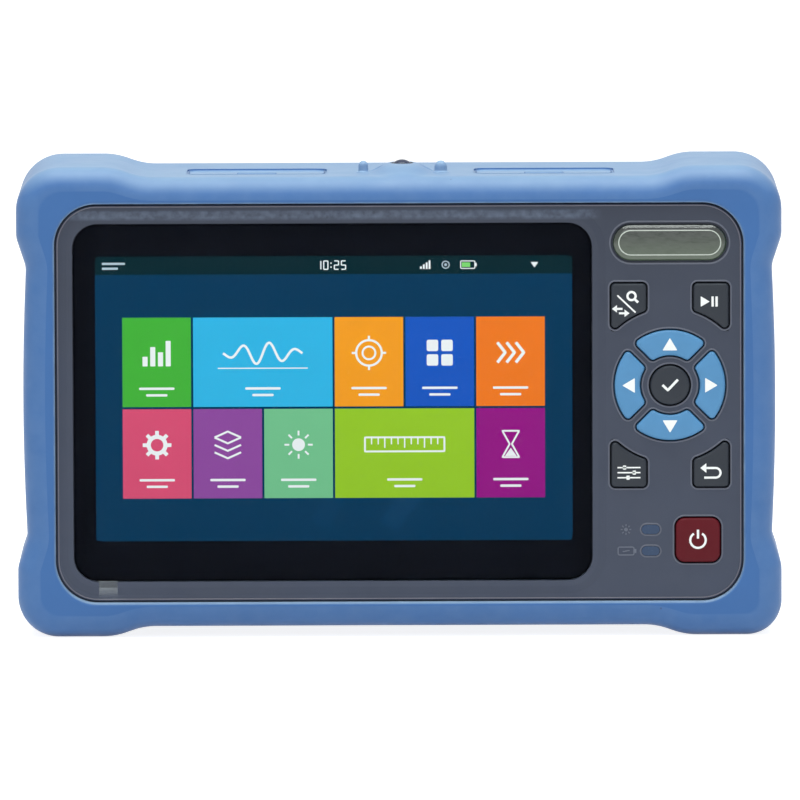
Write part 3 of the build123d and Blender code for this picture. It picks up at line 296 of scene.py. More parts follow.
@dataclass(frozen=True)
class BootRubber(Finish):
    """Matt silicone rubber: painted top light where it faces up, and pale marks of wear and painted edge
    highlight.
    """

    slot: str = "boot_rubber"
    colour: Colour = linear(56, 104, 166)
    specular: float = 0.44
    cloud: float = 0.035
    grain_scale: float = 3300.0
    grain_depth: float = 0.011 * MM
    sheen: float = 0.15
    # Pale marks: wear, and a painted highlight along the rounded lip and shoulders
    pale_mark: Colour = linear(150, 178, 208)
    pale_mark_scale: float = 220.0
    # Painted top light: this pale colour is blended in where the surface faces up
    top_light_paint: Colour = linear(176, 202, 212)
    top_light_most: float = 0.38
    top_light_tilt: tuple[float, float] = (0.3, 1.0)
    top_light_scale: float = 60.0
    speck: Colour = linear(58, 74, 104)
    speck_scale: float = 95.0
    speck_reach: tuple[float, float] = (0.018, 0.03)
    speck_most: float = 0.55

    def tint(self, tree: NodeTree) -> bpy.types.NodeSocket:
        """Cloudy base colour with painted top light on what faces up, pale marked edges and a few specks.

        The piece's upward attribute says where the painted top light goes, its pale_mark attribute where wear
        and painted highlight go.

        Args:
            tree: the material's nodes.

        Returns:
            The colour.
        """
        # Painted top light, stronger the more a corner faces up
        tilt = tree.spread(tree.mark("upward"), 0.0, self.top_light_most, *self.top_light_tilt)
        painted_top_light = tree.maths("MULTIPLY", tilt, tree.spread(tree.noise(self.top_light_scale, 4.0), 0.8, 1.0))
        # Pale marks: wear, and a painted edge highlight
        pale_share = tree.maths("MULTIPLY", tree.mark("pale_mark"),
                          tree.spread(tree.noise(self.pale_mark_scale, 4.0), 0.45, 1.0))
        specks = tree.add("TexVoronoi", Vector=tree.place(), Scale=self.speck_scale).outputs["Distance"]
        pale = tree.blend(pale_share, tree.blend(painted_top_light, super().tint(tree), self.top_light_paint), self.pale_mark)
        return tree.blend(tree.spread(specks, self.speck_most, 0.0, *self.speck_reach), pale, self.speck)


@dataclass(frozen=True)
class HousingPlastic(Finish):
    """Textured housing plastic: painted paler towards its foot as a floor reflection, with a painted highlight
    strip over the screen.
    """

    # Painted floor reflection: how much paler the foot is than the head
    painted_floor_light: float = 0.32
    half_height: float = 45.0 * MM
    # Painted highlight: colour of the noisy strip just under the lip, over the screen
    painted_highlight: Colour = linear(96, 108, 130)
    highlight_scale: float = 620.0
    highlight_foot: tuple[float, float] = (41.4 * MM, 42.3 * MM)
    highlight_head: tuple[float, float] = (43.5 * MM, 44.0 * MM)
    highlight_end: tuple[float, float] = (43.0 * MM, 46.0 * MM)

    def tint(self, tree: NodeTree) -> bpy.types.NodeSocket:
        """Cloudy base colour painted lighter downwards as a floor reflection, with the painted highlight strip
        on it.

        Args:
            tree: the material's nodes.

        Returns:
            The colour.
        """
        split = tree.add("SeparateXYZ", Vector=tree.place()).outputs
        across, rise = split["X"], tree.maths("SUBTRACT", split["Z"], MID_Z)
        # Painted floor reflection: paler towards the foot
        level = tree.spread(rise, 1.0 + self.painted_floor_light / 2, 1.0 - self.painted_floor_light / 2,
                            -self.half_height, self.half_height)
        # Painted highlight strip just under the lip
        strip = tree.maths("MULTIPLY", tree.spread(rise, 0.0, 1.0, *self.highlight_foot),
                           tree.spread(rise, 1.0, 0.0, *self.highlight_head))
        strip = tree.maths("MULTIPLY", strip, tree.spread(across, 1.0, 0.0, *self.highlight_end))
        pale_share = tree.maths("MULTIPLY", strip, tree.spread(tree.noise(self.highlight_scale, 4.0), 0.1, 0.8))
        return tree.blend(pale_share, tree.scaled(super().tint(tree), level), self.painted_highlight)


@dataclass(frozen=True)
class Glow(Finish):
    """Picture element that gives its own light; each face's colour is kept in the piece's tint attribute."""

    base: Colour = (0.002, 0.002, 0.002)
    dim: tuple[float, float] = (0.93, 1.05)
    dim_reach: tuple[float, float] = (MID_Z - 32 * MM, MID_Z + 33 * MM)

    def shader(self, tree: NodeTree) -> bpy.types.Node:
        """Lit shader without gloss, a little brighter towards the top.

        Args:
            tree: the material's nodes.

        Returns:
            The shader node.
        """
        level = tree.spread(tree.height(), *self.dim, *self.dim_reach)
        cloud = tree.maths("MULTIPLY", level, tree.spread(tree.noise(140.0, 2.0), 0.985, 1.015))
        shader = tree.add("BsdfPrincipled", Base_Color=self.base, Roughness=0.5, Emission_Strength=1.0,
                          Emission_Color=tree.scaled(tree.mark("tint", "Color"), cloud))
        shader.inputs["Specular IOR Level"].default_value = 0.0
        return shader


class Surface:
    """Points and faces of a piece, gathered from grids."""

    def __init__(self) -> None:
        """Start with nothing."""
        self.points: list[Array] = []
        self.faces: list[list[int]] = []
        self.marks: list[Array] = []
        self.tints: list[Array] = []
        self.count = 0

    def put(self, points: Array, faces: Iterable[Sequence[int]], mark: Array | None = None,
            tint: Colour | None = None) -> None:
        """Add points of shape (n, 3) and faces numbered from the first of them.

        Args:
            points: the new points.
            faces: their faces.
            mark: how strongly each point is marked pale, from 0 to 1.
            tint: one colour for all the new points.
        """
        self.faces += (np.asarray(faces) + self.count).tolist()
        self.points.append(points)
        self.marks.append(np.zeros(len(points)) if mark is None else mark)
        self.tints.append(np.tile((*(tint or (1.0, 1.0, 1.0)), 1.0), (len(points), 1)))
        self.count += len(points)

    def grid(self, points: Array, wrap_rows: bool = False, wrap_columns: bool = True, caps: bool = False,
             mark: Array | None = None, tint: Colour | None = None) -> None:
        """Add a grid of points of shape (rows, columns, 3).

        Args:
            points: the grid, one row after another.
            wrap_rows: whether the last row joins the first.
            wrap_columns: whether each row is a closed ring.
            caps: whether the first and the last ring are closed with a fan.
            mark: pale mark shares, one for each row.
            tint: one colour for the whole grid.
        """
        rows, columns = points.shape[:2]
        row = np.arange(rows if wrap_rows else rows - 1)[:, None]
        column = np.arange(columns if wrap_columns else columns - 1)[None, :]
        below, beside = (row + 1) % rows * columns, (column + 1) % columns
        corners = (row * columns + column, row * columns + beside, below + beside, below + column)
        flat_points = points.reshape(-1, 3)
        start = self.count
        self.put(flat_points, np.stack(corners, axis=-1).reshape(-1, 4),
                 None if mark is None else np.repeat(mark, columns), tint)
        for first in (0, (rows - 1) * columns) if caps else ():
            edge = start + first + np.arange(columns)
            fan = np.column_stack((edge, np.roll(edge, -1), np.full(columns, self.count)))
            hub = flat_points[first:first + columns].mean(axis=0)
            self.put(hub[None, :], fan - self.count, None, tint)

    def join(self, other: "Surface") -> None:
        """Add all of another surface.

        Args:
            other: the surface to take over.
        """
        self.faces += [[index + self.count for index in face] for face in other.faces]
        self.points += other.points
        self.marks += other.marks
        self.tints += other.tints
        self.count += other.count


def stand(name: str, data: bpy.types.ID) -> bpy.types.Object:
    """Put a mesh, lamp or camera into the scene.

    Args:
        name: the object's name.
        data: what it holds.

    Returns:
        The new object.
    """
    thing = bpy.data.objects.new(name, data)
    bpy.context.scene.collection.objects.link(thing)
    return thing


def mesh_of(name: str, surface: Surface) -> bpy.types.Mesh:
    """Turn a surface into a mesh, with its doubles merged and its faces turned outwards.

    Args:
        name: the mesh's name.
        surface: its points and faces.

    Returns:
        The mesh, with the surface's marks and tints as its pale_mark and tint attributes.
    """
    mesh = bpy.data.meshes.new(name)
    mesh.from_pydata(np.concatenate(surface.points).tolist(), [], surface.faces)
    pale_mark = mesh.attributes.new("pale_mark", "FLOAT", "POINT")
    pale_mark.data.foreach_set("value", np.concatenate(surface.marks).astype(np.float32))
    tint = mesh.attributes.new("tint", "FLOAT_COLOR", "POINT")
    tint.data.foreach_set("color", np.concatenate(surface.tints).astype(np.float32).ravel())
    work = bmesh.new()
    work.from_mesh(mesh)
    bmesh.ops.remove_doubles(work, verts=work.verts, dist=1e-7)
    bmesh.ops.recalc_face_normals(work, faces=work.faces)
    work.to_mesh(mesh)
    work.free()
    return mesh


def build(name: str, surface: Surface, finish: Finish, body: str = CASE,
          sharp: float = SHARP) -> bpy.types.Object:
    """Make a piece from its surface.

    Args:
        name: the piece's name.
        surface: its points and faces.
        finish: what it is dressed in.
        body: the CAD body that it moves with.
        sharp: edges turned by more degrees than this stay crisp.

    Returns:
        The finished object, with its faces turned outwards.
    """
    mesh = mesh_of(name, surface)
    piece = stand(name, mesh)
    soften(mesh, sharp)
    finish.dress(piece)
    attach(piece, body)
    LOG.info("%s: %d faces", name, len(mesh.polygons))
    return piece


def soften(mesh: bpy.types.Mesh, sharp: float) -> None:
    """Shade a mesh smooth, apart from sharp edges, and keep how far each corner of a face looks up.

    Args:
        mesh: the mesh, which gets an upward attribute: the height part of each corner's shading normal.
        sharp: edges turned by more degrees than this stay crisp.
    """
    mesh.shade_smooth()
    mesh.set_sharp_from_angle(angle=math.radians(sharp))
    normals = np.empty(len(mesh.loops) * 3, dtype=np.float32)
    mesh.corner_normals.foreach_get("vector", normals)
    upward = mesh.attributes.get("upward") or mesh.attributes.new("upward", "FLOAT", "CORNER")
    upward.data.foreach_set("value", np.ascontiguousarray(normals[2::3]))


def carve(piece: bpy.types.Object, tools: list[Surface], sharp: float = SHARP) -> None:
    """Cut closed tool surfaces out of a closed piece.

    Args:
        piece: the piece, whose mesh is replaced.
        tools: closed surfaces.
        sharp: edges turned by more degrees than this stay crisp.
    """
    cutters = [stand("tool", mesh_of("tool", surface)) for surface in tools]
    for cutter in cutters:
        cut = piece.modifiers.new("cut", "BOOLEAN")
        cut.operation = "DIFFERENCE"
        cut.solver = "EXACT"
        cut.object = cutter
    bpy.context.view_layer.update()
    graph = bpy.context.evaluated_depsgraph_get()
    made = bpy.data.meshes.new_from_object(piece.evaluated_get(graph), depsgraph=graph)
    piece.modifiers.clear()
    piece.data = made
    soften(made, sharp)
    for cutter in cutters:
        bpy.data.objects.remove(cutter)


@dataclass(frozen=True)
class Outline:
    """Closed path in the plane of the face, run anticlockwise, with the normal at each of its points."""

    points: Array
    normals: Array

    @classmethod
    def along(cls, path: Array, count: int = 200, fine: tuple[float, float] | None = None) -> "Outline":
        """Space points evenly along a closed path.

        Each normal is the path's direction there, turned a quarter turn clockwise.

        Args:
            path: corners of shape (n, 2).
            count: how many points to space along it.
            fine: an x and a reach round it, within which the upper side gets twice as many points.

        Returns:
            The outline.
        """
        closed = np.vstack((path, path[:1]))
        steps = np.hypot(*np.diff(closed, axis=0).T)
        length = np.concatenate(([0.0], np.cumsum(steps)))
        spots = np.linspace(0, length[-1], count, endpoint=False)
        if fine:
            x, z = (np.interp(spots, length, closed[:, axis]) for axis in (0, 1))
            near = (np.abs(x - fine[0]) < fine[1]) & (z > 0)
            spots = np.sort(np.concatenate((spots, spots[near] + length[-1] / count / 2)))
        points = np.column_stack([np.interp(spots, length, closed[:, axis]) for axis in (0, 1)])
        ahead = np.roll(points, -1, 0) - points
        behind = points - np.roll(points, 1, 0)
        heading = ahead / np.hypot(*ahead.T)[:, None] + behind / np.hypot(*behind.T)[:, None]
        heading /= np.hypot(*heading.T)[:, None]
        return cls(points, np.column_stack((heading[:, 1], -heading[:, 0])))

    def grown(self, margin: float) -> Array:
        """Points let out by a margin along their normals."""
        return self.points + margin * self.normals

    def moved(self, x: float, z: float) -> "Outline":
        """The same outline at another place."""
        return Outline(self.points + np.array((x, z)), self.normals)

    def middle(self) -> Array:
        """Middle of the outline's box."""
        return (self.points.min(axis=0) + self.points.max(axis=0)) / 2


def arc(x: float, z: float, radius: float, start: float, end: float, count: int = 24) -> Array:
    """Points on a circle from one angle to another, in degrees."""
    turn = np.radians(np.linspace(start, end, count))
    return np.column_stack((x + radius * np.cos(turn), z + radius * np.sin(turn)))


def rounded(width: float, height: float, radius: float, count: int = 200) -> Outline:
    """Rectangle with rounded corners about the origin.

    Args:
        width, height: its whole size.
        radius: of its corners.
        count: points round it.

    Returns:
        Its outline.
    """
    x, z = width / 2 - radius, height / 2 - radius
    corners = ((x, z, 0), (-x, z, 90), (-x, -z, 180), (x, -z, 270))
    path = np.concatenate([arc(cx, cz, radius, turn, turn + 90) for cx, cz, turn in corners])
    return Outline.along(path, count)


def circle(radius: float, count: int = 64) -> Outline:
    """Circle about the origin."""
    return Outline.along(arc(0, 0, radius, 0, 360 - 360 / count, count), count)


def filleted(corners: Array, count: int = 40) -> Array:
    """Round the corners of a closed polygon.

    Each arc's centre lies on its corner's bisector, at the radius over the sine of half the corner's angle,
    and the arc starts and ends where circles of that centre touch the two sides.

    Args:
        corners: rows of x, z and radius, run anticlockwise.
        count: points on each arc.

    Returns:
        The path, of shape (n * count, 2).
    """
    here, radius = corners[:, :2], corners[:, 2]
    back = np.roll(here, 1, 0) - here
    ahead = np.roll(here, -1, 0) - here
    back /= np.hypot(*back.T)[:, None]
    ahead /= np.hypot(*ahead.T)[:, None]
    half = np.arccos(np.clip((back * ahead).sum(axis=1), -1, 1)) / 2
    bisector = back + ahead
    bisector /= np.hypot(*bisector.T)[:, None]
    centre = here + bisector * (radius / np.sin(half))[:, None]
    reach = (radius / np.tan(half))[:, None]
    first = here + back * reach - centre
    last = here + ahead * reach - centre
    start = np.arctan2(first[:, 1], first[:, 0])
    sweep = (np.arctan2(last[:, 1], last[:, 0]) - start + np.pi) % (2 * np.pi) - np.pi
    turn = start[:, None] + sweep[:, None] * np.linspace(0, 1, count)
    x = centre[:, :1] + radius[:, None] * np.cos(turn)
    z = centre[:, 1:] + radius[:, None] * np.sin(turn)
    return np.stack((x, z), axis=-1).reshape(-1, 2)


def spun(points: Array, degrees: float) -> Array:
    """Points of the face's plane turned anticlockwise about the origin."""
    angle = math.radians(degrees)
    return points @ np.array(((math.cos(angle), math.sin(angle)), (-math.sin(angle), math.cos(angle))))


def upright(plane: Array, depth: Array | float) -> Array:
    """Stand points of the face's plane up at a depth behind the boot's front."""
    depth = np.broadcast_to(depth, plane.shape[:-1])
    return np.stack((plane[..., 0], FRONT_Y + depth, MID_Z + plane[..., 1]), axis=-1)


def level(plane: Array, height: Array | float) -> Array:
    """Lay points of a plan, x and depth, down at a height."""
    height = np.broadcast_to(height, plane.shape[:-1])
    return np.stack((plane[..., 0], FRONT_Y + plane[..., 1], height), axis=-1)


def behind(planes: Iterable[Array], depths: Iterable[Array | float]) -> Array:
    """Grid of upright rings, one for each plane and depth."""
    return np.stack([upright(plane, depth) for plane, depth in zip(planes, depths)])


def above(plans: Iterable[Array], heights: Iterable[float]) -> Array:
    """Grid of level rings, one for each plan and height."""
    return np.stack([level(plan, height) for plan, height in zip(plans, heights)])


def bell(reach: Array) -> Array:
    """Raised cosine: 1 at no reach, falling smoothly to 0 at a reach of 1."""
    return 0.5 + 0.5 * np.cos(np.pi * np.clip(reach, 0, 1))


def lathe(profile: Array, x: float, depth: float, count: int = 48) -> Array:
    """Turn a profile of radius and height round an upright axis.

    Args:
        profile: rows of radius and height.
        x, depth: where the axis stands.
        count: points on each ring.

    Returns:
        A grid of one ring for each row.
    """
    turn = np.linspace(0, 2 * np.pi, count, endpoint=False)
    plan = profile[:, :1, None] * np.stack((np.cos(turn), np.sin(turn)), axis=-1)[None]
    return level(plan + np.array((x, depth)), profile[:, 1:2])


def corner_arc(radius: float, count: int = 7) -> tuple[Array, Array]:
    """Quarter round edge, as insets and drops that run from its face to its side."""
    turn = np.linspace(0, np.pi / 2, count)
    return radius * (1 - np.sin(turn)), radius * (1 - np.cos(turn))


@dataclass
class RubberBoot:
    """Blue rubber boot: one closed skin run round the waisted outline, with pegs beside the torch."""

    waist_x: float = 84.5 * MM
    waist_z: float = 51.2 * MM
    proud_x: float = 2.2 * MM
    proud_z: float = 2.3 * MM
    bumper_x: float = 22.0 * MM
    bumper_z: float = 16.0 * MM
    ramp: float = 6.6 * MM
    side_ramp_radius: float = 6.0 * MM
    top_ramp_radius: float = 16.0 * MM
    corner_radius: float = 10.0 * MM
    low_left_radius: float = 9.3 * MM
    low_right_radius: float = 8.0 * MM
    bow: float = 1.3 * MM
    shoulder: float = 5.0 * MM
    back_shoulder: float = 4.0 * MM
    lip_edge: float = 0.8 * MM
    lip_thick: float = 2.2 * MM
    lip_size: tuple[float, float, float] = (156.0 * MM, 90.7 * MM, 9.5 * MM)
    back_size: tuple[float, float, float] = (146.0 * MM, 78.0 * MM, 12.0 * MM)
    back_thick: float = 1.9 * MM
    cavity_radius: float = 10.1 * MM
    cavity_gap: float = 0.1 * MM
    hump_reach: tuple[float, float] = (8.6 * MM, 14.5 * MM)
    hump_rise: float = 2.1 * MM
    hump_flat: float = 0.3
    hump_from: float = 1.6 * MM
    peg_span: float = 17.6 * MM
    peg_radii: tuple[float, float] = (1.1 * MM, 1.45 * MM)
    peg_tall: float = 2.6 * MM
    peg_sunk: float = 0.35 * MM
    peg_flare: float = 0.5 * MM
    peg_tip: float = 0.06 * MM
    dimple_in: float = 3.0 * MM
    dimple_reach: float = 2.2 * MM
    dimple_deep: float = 0.75 * MM
    sill: float = 0.45 * MM
    sill_drop: tuple[float, float] = (0.42 * MM, 0.38 * MM)
    rim_soft: float = 0.3 * MM
    rim_shy: float = 0.05 * MM
    rim_proud: float = 0.02 * MM
    rim_deep: float = 2.4 * MM
    torch_gap: float = 0.05 * MM
    points_round: int = 860
    fine_reach: float = 12.0 * MM
    wall_runs: tuple[tuple[float, float, float], ...] = ((6.0, 8.6, 1.2), (9.2, 22.4, 0.6), (23.4, 39.0, 1.5))
    cavity_rings: tuple[float, float] = (30.0 * MM, 18.0 * MM)
    finish: BootRubber = BootRubber("boot_silicone", cloud_scale=42.0)

    def quarter(self, across: int, up: int, corner_radius: float) -> Array:
        """Corners of a quarter of the outline, from the side's waist over the bumper to the top's.

        Args:
            across, up: 1 or -1, the side that the quarter is on.
            corner_radius: of the bumper's own corner.

        Returns:
            Rows of x, z and radius.
        """
        side, top = self.waist_x + self.proud_x, self.waist_z + self.proud_z
        return np.array((
            (self.waist_x, top - self.bumper_z - self.ramp, self.side_ramp_radius),
            (side, top - self.bumper_z, self.side_ramp_radius),
            (side, top, corner_radius),
            (side - self.bumper_x, top, self.top_ramp_radius),
            (side - self.bumper_x - self.ramp, self.waist_z, self.top_ramp_radius),
        )) * (across, up, 1)

    def outline(self) -> Outline:
        """Waisted outline with a swelled bumper at each corner, started at the middle of the right side.

        Each side bows out by the bow between its ramps, as one more corner with a wide radius.

        Returns:
            The outline, with finer points round the torch.
        """
        upper_right = self.quarter(1, 1, self.corner_radius)
        run = upper_right[0, 1]
        bow = np.array(((self.waist_x + self.bow, 0, (run - self.ramp) * run / self.bow),))
        ring = np.vstack((
            bow, upper_right, self.quarter(-1, 1, self.corner_radius)[::-1],
            bow * (-1, 1, 1), self.quarter(-1, -1, self.low_left_radius),
            self.quarter(1, -1, self.low_right_radius)[::-1],
        ))
        return Outline.along(filleted(ring), self.points_round, (TORCH_X, self.fine_reach))

    @staticmethod
    def project(outer: Outline, size: tuple[float, float, float]) -> tuple[Array, Array]:
        """Nearest points of a rounded rectangle, with their normals.

        The nearest point of the rectangle's core, drawn in by its corner radius, is found by clamping,
        and the rounded edge lies one radius from it towards the outer point.

        Args:
            outer: the outline to project inwards.
            size: width, height and corner radius of the rectangle.

        Returns:
            The points and the normals, one for each point of the outline.
        """
        half = np.array((size[0] / 2 - size[2], size[1] / 2 - size[2]))
        core = np.clip(outer.points, -half, half)
        way = outer.points - core
        way /= np.hypot(*way.T)[:, None]
        return core + size[2] * way, way

    def hump(self, x: Array, depth: Array | float) -> Array:
        """Rise of the top wall.

        It is a flat-topped bell over an ellipse about the torch, less a small bowl inside each peg.

        Args:
            x, depth: places on the top wall.

        Returns:
            The rise at each place.
        """
        reach = np.hypot((x - TORCH_X) / self.hump_reach[0], (depth - TORCH_DEPTH) / self.hump_reach[1])
        rise = self.hump_rise * bell((reach - self.hump_flat) / (1 - self.hump_flat))
        for side in (-1, 1):
            spot = TORCH_X + side * (self.peg_span / 2 - self.dimple_in)
            away = np.hypot(x - spot, depth - TORCH_DEPTH) / self.dimple_reach
            rise = rise - self.dimple_deep * bell(away)
        return rise

    def skin(self) -> Surface:
        """Closed skin: a section of lips, shoulders and walls carried along the outline.

        Returns:
            The skin, whose rows run from the front lip's inner edge round the outside and back inside.
        """
        outer = self.outline()
        lip, lip_way = self.project(outer, self.lip_size)
        back, back_way = self.project(outer, self.back_size)
        low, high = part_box("rear_shell")
        gap = 2 * self.cavity_gap
        inner, _ = self.project(outer, (high.x - low.x + gap, high.z - low.z + gap, self.cavity_radius))
        faces_up = np.clip((outer.normals[:, 1] - 0.6) / 0.3, 0, 1)
        planes, depths, marks = [], [], []

        def row(plane: Array, depth: float, mark: float = 0.0) -> None:
            """Add one ring of the section, raised by the hump where it lies on the top wall.

            Args:
                plane: the ring's points in the face's plane.
                depth: how far behind the front it lies.
                mark: how rubbed it is.
            """
            on_top = faces_up * (plane[:, 1] > self.waist_z - self.shoulder) * (depth > self.hump_from)
            rise = self.hump(plane[:, 0], depth) * on_top
            planes.append(plane + np.column_stack((np.zeros(len(plane)), rise)))
            depths.append(depth)
            marks.append(mark)

        row(lip, self.lip_thick)
        edge_in, edge_drop = corner_arc(self.lip_edge)
        # The lip's rounded inner edge is marked pale: wear, and a painted highlight
        for inset, drop, pale_share in zip(edge_drop, edge_in, np.linspace(1.3, -0.5, len(edge_in))):
            row(lip + inset * lip_way, drop, float(np.clip(pale_share, 0, 0.9)))
        start, end = lip + self.lip_edge * lip_way, outer.grown(-self.shoulder)
        for share in (0.12, 0.3, 0.5, 0.7, 0.88):
            row(start + share * (end - start), 0.0)
        for inset, drop in zip(*corner_arc(self.shoulder, 12)):
            row(outer.grown(-inset), drop, 0.12)
        for depth in np.concatenate([np.arange(*run) for run in self.wall_runs]) * MM:
            row(outer.points, depth)
        round_in, round_drop = corner_arc(self.back_shoulder, 10)
        for inset, drop in zip(round_in[::-1], round_drop[::-1]):
            row(outer.grown(-inset), DEPTH - drop, 0.1)
        start, end = outer.grown(-self.back_shoulder), back + self.lip_edge * back_way
        for share in (0.15, 0.4, 0.65, 0.85):
            row(start + share * (end - start), DEPTH)
        for inset, drop in zip(edge_drop[::-1], edge_in[::-1]):
            row(back + inset * back_way, DEPTH - drop, 0.5)
        for share in (0.0, 0.5, 1.0):
            row(back + share * (inner - back), DEPTH - self.back_thick)
        for depth in (*self.cavity_rings, self.lip_thick):
            row(inner, depth)
        row(inner + 0.5 * (lip - inner), self.lip_thick)
        skin = Surface()
        skin.grid(behind(planes, depths), wrap_rows=True, mark=np.array(marks))
        return skin

    def windows(self) -> list[Surface]:
        """Tools that open the top wall over each port bay and round the torch ring."""
        ring = circle(Torch.ring_radius + self.torch_gap).moved(TORCH_X, TORCH_DEPTH)
        return [self.punch(outline) for outline in (*(flap.window() for flap in PortFlap.both()), ring)]

    @staticmethod
    def punch(outline: Outline) -> Surface:
        """Upright prism that reaches through the top wall.

        Args:
            outline: its plan.

        Returns:
            The closed prism.
        """
        tool = Surface()
        tool.grid(above([outline.points] * 2, (HOUSING_TOP - MM, BOOT_TOP + 4 * MM)), caps=True)
        return tool

    def pegs(self) -> Surface:
        """Two round-headed pegs, the right one stouter, that flare into the top wall.

        Returns:
            Both pegs.
        """
        foot, head = BOOT_TOP - self.peg_sunk, BOOT_TOP + self.peg_tall
        wall = BOOT_TOP + 0.05 * MM
        turn = np.linspace(0, np.pi / 2, 7)
        pegs = Surface()
        for side, radius in zip((-1, 1), self.peg_radii):
            flare = np.column_stack((radius + self.peg_flare * (1 - np.sin(turn)),
                                     wall + self.peg_flare * (1 - np.cos(turn))))
            tip = np.column_stack((radius * np.cos(turn[:-1]), head - radius * (1 - np.sin(turn[:-1]))))
            profile = np.vstack(((flare[0, 0], foot), flare, tip, (self.peg_tip, head)))
            peg = lathe(profile, TORCH_X + side * self.peg_span / 2, TORCH_DEPTH)
            pegs.grid(peg, caps=True, mark=np.full(len(peg), 0.9))
        return pegs

    def rims(self) -> Surface:
        """Collar that softens the edge of each window, with a sill under it and its outside sunk in the wall.

        Its section is a list of margins round the window and of drops below the top.

        Returns:
            Both collars.
        """
        turn = np.linspace(0, np.pi / 2, 5)
        bend = self.rim_soft * (1 - np.column_stack((np.cos(turn), np.sin(turn)))) - (self.rim_shy, 0)
        section = np.vstack((
            (-self.sill, self.rim_deep), (-self.sill, self.sill_drop[0]), (-self.rim_shy, self.sill_drop[1]),
            bend, (self.rim_soft, 0.2 * MM), (0.1 * MM, self.rim_deep),
        ))
        top = BOOT_TOP + self.rim_proud
        rims = Surface()
        for flap in PortFlap.both():
            window = flap.window()
            rims.grid(above([window.grown(out) for out in section[:, 0]], top - section[:, 1]), wrap_rows=True)
        return rims

    def make(self) -> None:
        """Build the boot, cut its windows and set its pegs."""
        skin = build("boot_skin", self.skin(), self.finish)
        carve(skin, self.windows())
        self.finish.dress(skin)
        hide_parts("boot")
        build("boot_pegs", self.pegs(), self.finish)
        build("flap_window_rims", self.rims(), self.finish)


@dataclass
class PortFlap:
    """Rubber flap over one port bay: a lid with soft edges and a finger lift, and the plug under it."""

    side: str
    window_over: float = 1.0 * MM
    window_radius: float = 2.5 * MM
    bay_depth: float = 18.0 * MM
    bay_long: float = 12.4 * MM
    bay_wide: float = 29.8 * MM
    lid_radius: float = 1.8 * MM
    lid_edge: float = 0.55 * MM
    lid_over: float = 0.12 * MM
    lid_foot: float = 0.3 * MM
    # Pale marks on the lid's rounded top edge: wear, and a painted highlight
    lid_marks: tuple[float, ...] = (0, 0, 0, 0, 0, 0.3, 0.5, 0.3)
    rib_size: tuple[float, float, float] = (9.0 * MM, 0.8 * MM, 0.4 * MM)
    rib_first: float = 1.9 * MM
    rib_pitch: float = 1.3 * MM
    rib_section: tuple[tuple[float, float], ...] = ((0.0, 0.27), (0.05, 0.17), (0.16, 0.05), (0.3, 0.0))
    plug_in: float = 2.6 * MM
    plug_radius: float = 1.5 * MM
    plug_section: tuple[tuple[float, float], ...] = (
        (0.0, 0.2), (0.0, -0.5), (0.22, -0.7), (0.22, -0.9), (0.0, -1.1), (0.0, -1.25), (-0.3, -1.4))
    finish: BootRubber = BootRubber("flap_silicone", cloud=0.04, cloud_scale=80.0)

    @classmethod
    def both(cls) -> list["PortFlap"]:
        """The left and the right flap."""
        return [cls("left"), cls("right")]

    def window(self) -> Outline:
        """Opening in the boot that the flap covers.

        Returns:
            Its outline in plan, x and depth.
        """
        low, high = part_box("port_flap_" + self.side)
        size = (self.bay_wide + 2 * self.window_over, self.bay_long + 2 * self.window_over, self.window_radius)
        return rounded(*size, 160).moved((low.x + high.x) / 2, self.bay_depth)

    def lid(self, flap: Surface) -> None:
        """Add the lid, whose upper edge is a quarter round.

        Args:
            flap: the surface to add to.
        """
        low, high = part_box("port_flap_" + self.side)
        outline = rounded(high.x - low.x, high.y - low.y, self.lid_radius, 180).moved(*self.middle())
        insets, drops = corner_arc(self.lid_edge, 6)
        foot = HOUSING_TOP + self.lid_over
        margins = (-self.lid_edge, 0.0, *-drops)
        heights = (foot, foot + self.lid_foot, *(high.z - self.lid_edge + insets))
        flap.grid(above([outline.grown(margin) for margin in margins], heights), caps=True,
                  mark=np.array(self.lid_marks))

    def ribs(self, flap: Surface) -> None:
        """Add the three ribs of the finger lift, near the flap's free edge.

        Args:
            flap: the surface to add to.
        """
        low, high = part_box("port_flap_" + self.side)
        x, depth = self.middle()
        section = np.array(self.rib_section) * MM
        for index in range(3):
            spot = depth - (high.y - low.y) / 2 + self.rib_first + self.rib_pitch * index
            bar = rounded(*self.rib_size, 60).moved(x, spot)
            flap.grid(above([bar.grown(-inset) for inset in section[:, 0]], high.z - section[:, 1]), caps=True)

    def plug(self, flap: Surface) -> None:
        """Add the plug with its sealing rib, which fills the bay's mouth.

        Args:
            flap: the surface to add to.
        """
        outline = rounded(self.bay_wide - self.plug_in, self.bay_long - self.plug_in, self.plug_radius, 160)
        outline = outline.moved(*self.middle())
        section = np.array(self.plug_section) * MM
        flap.grid(above([outline.grown(out) for out in section[:, 0]], HOUSING_TOP + section[:, 1]), caps=True)

    def middle(self) -> tuple[float, float]:
        """Middle of the flap's plan, x and depth."""
        low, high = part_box("port_flap_" + self.side)
        return (low.x + high.x) / 2, (low.y + high.y) / 2 - FRONT_Y

    def make(self) -> None:
        """Build the flap on its own body."""
        flap = Surface()
        self.lid(flap)
        self.ribs(flap)
        self.plug(flap)
        piece = build("port_flap_" + self.side + "_moulding", flap, self.finish, "port_flap_" + self.side)
        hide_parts("port_flap_" + self.side)


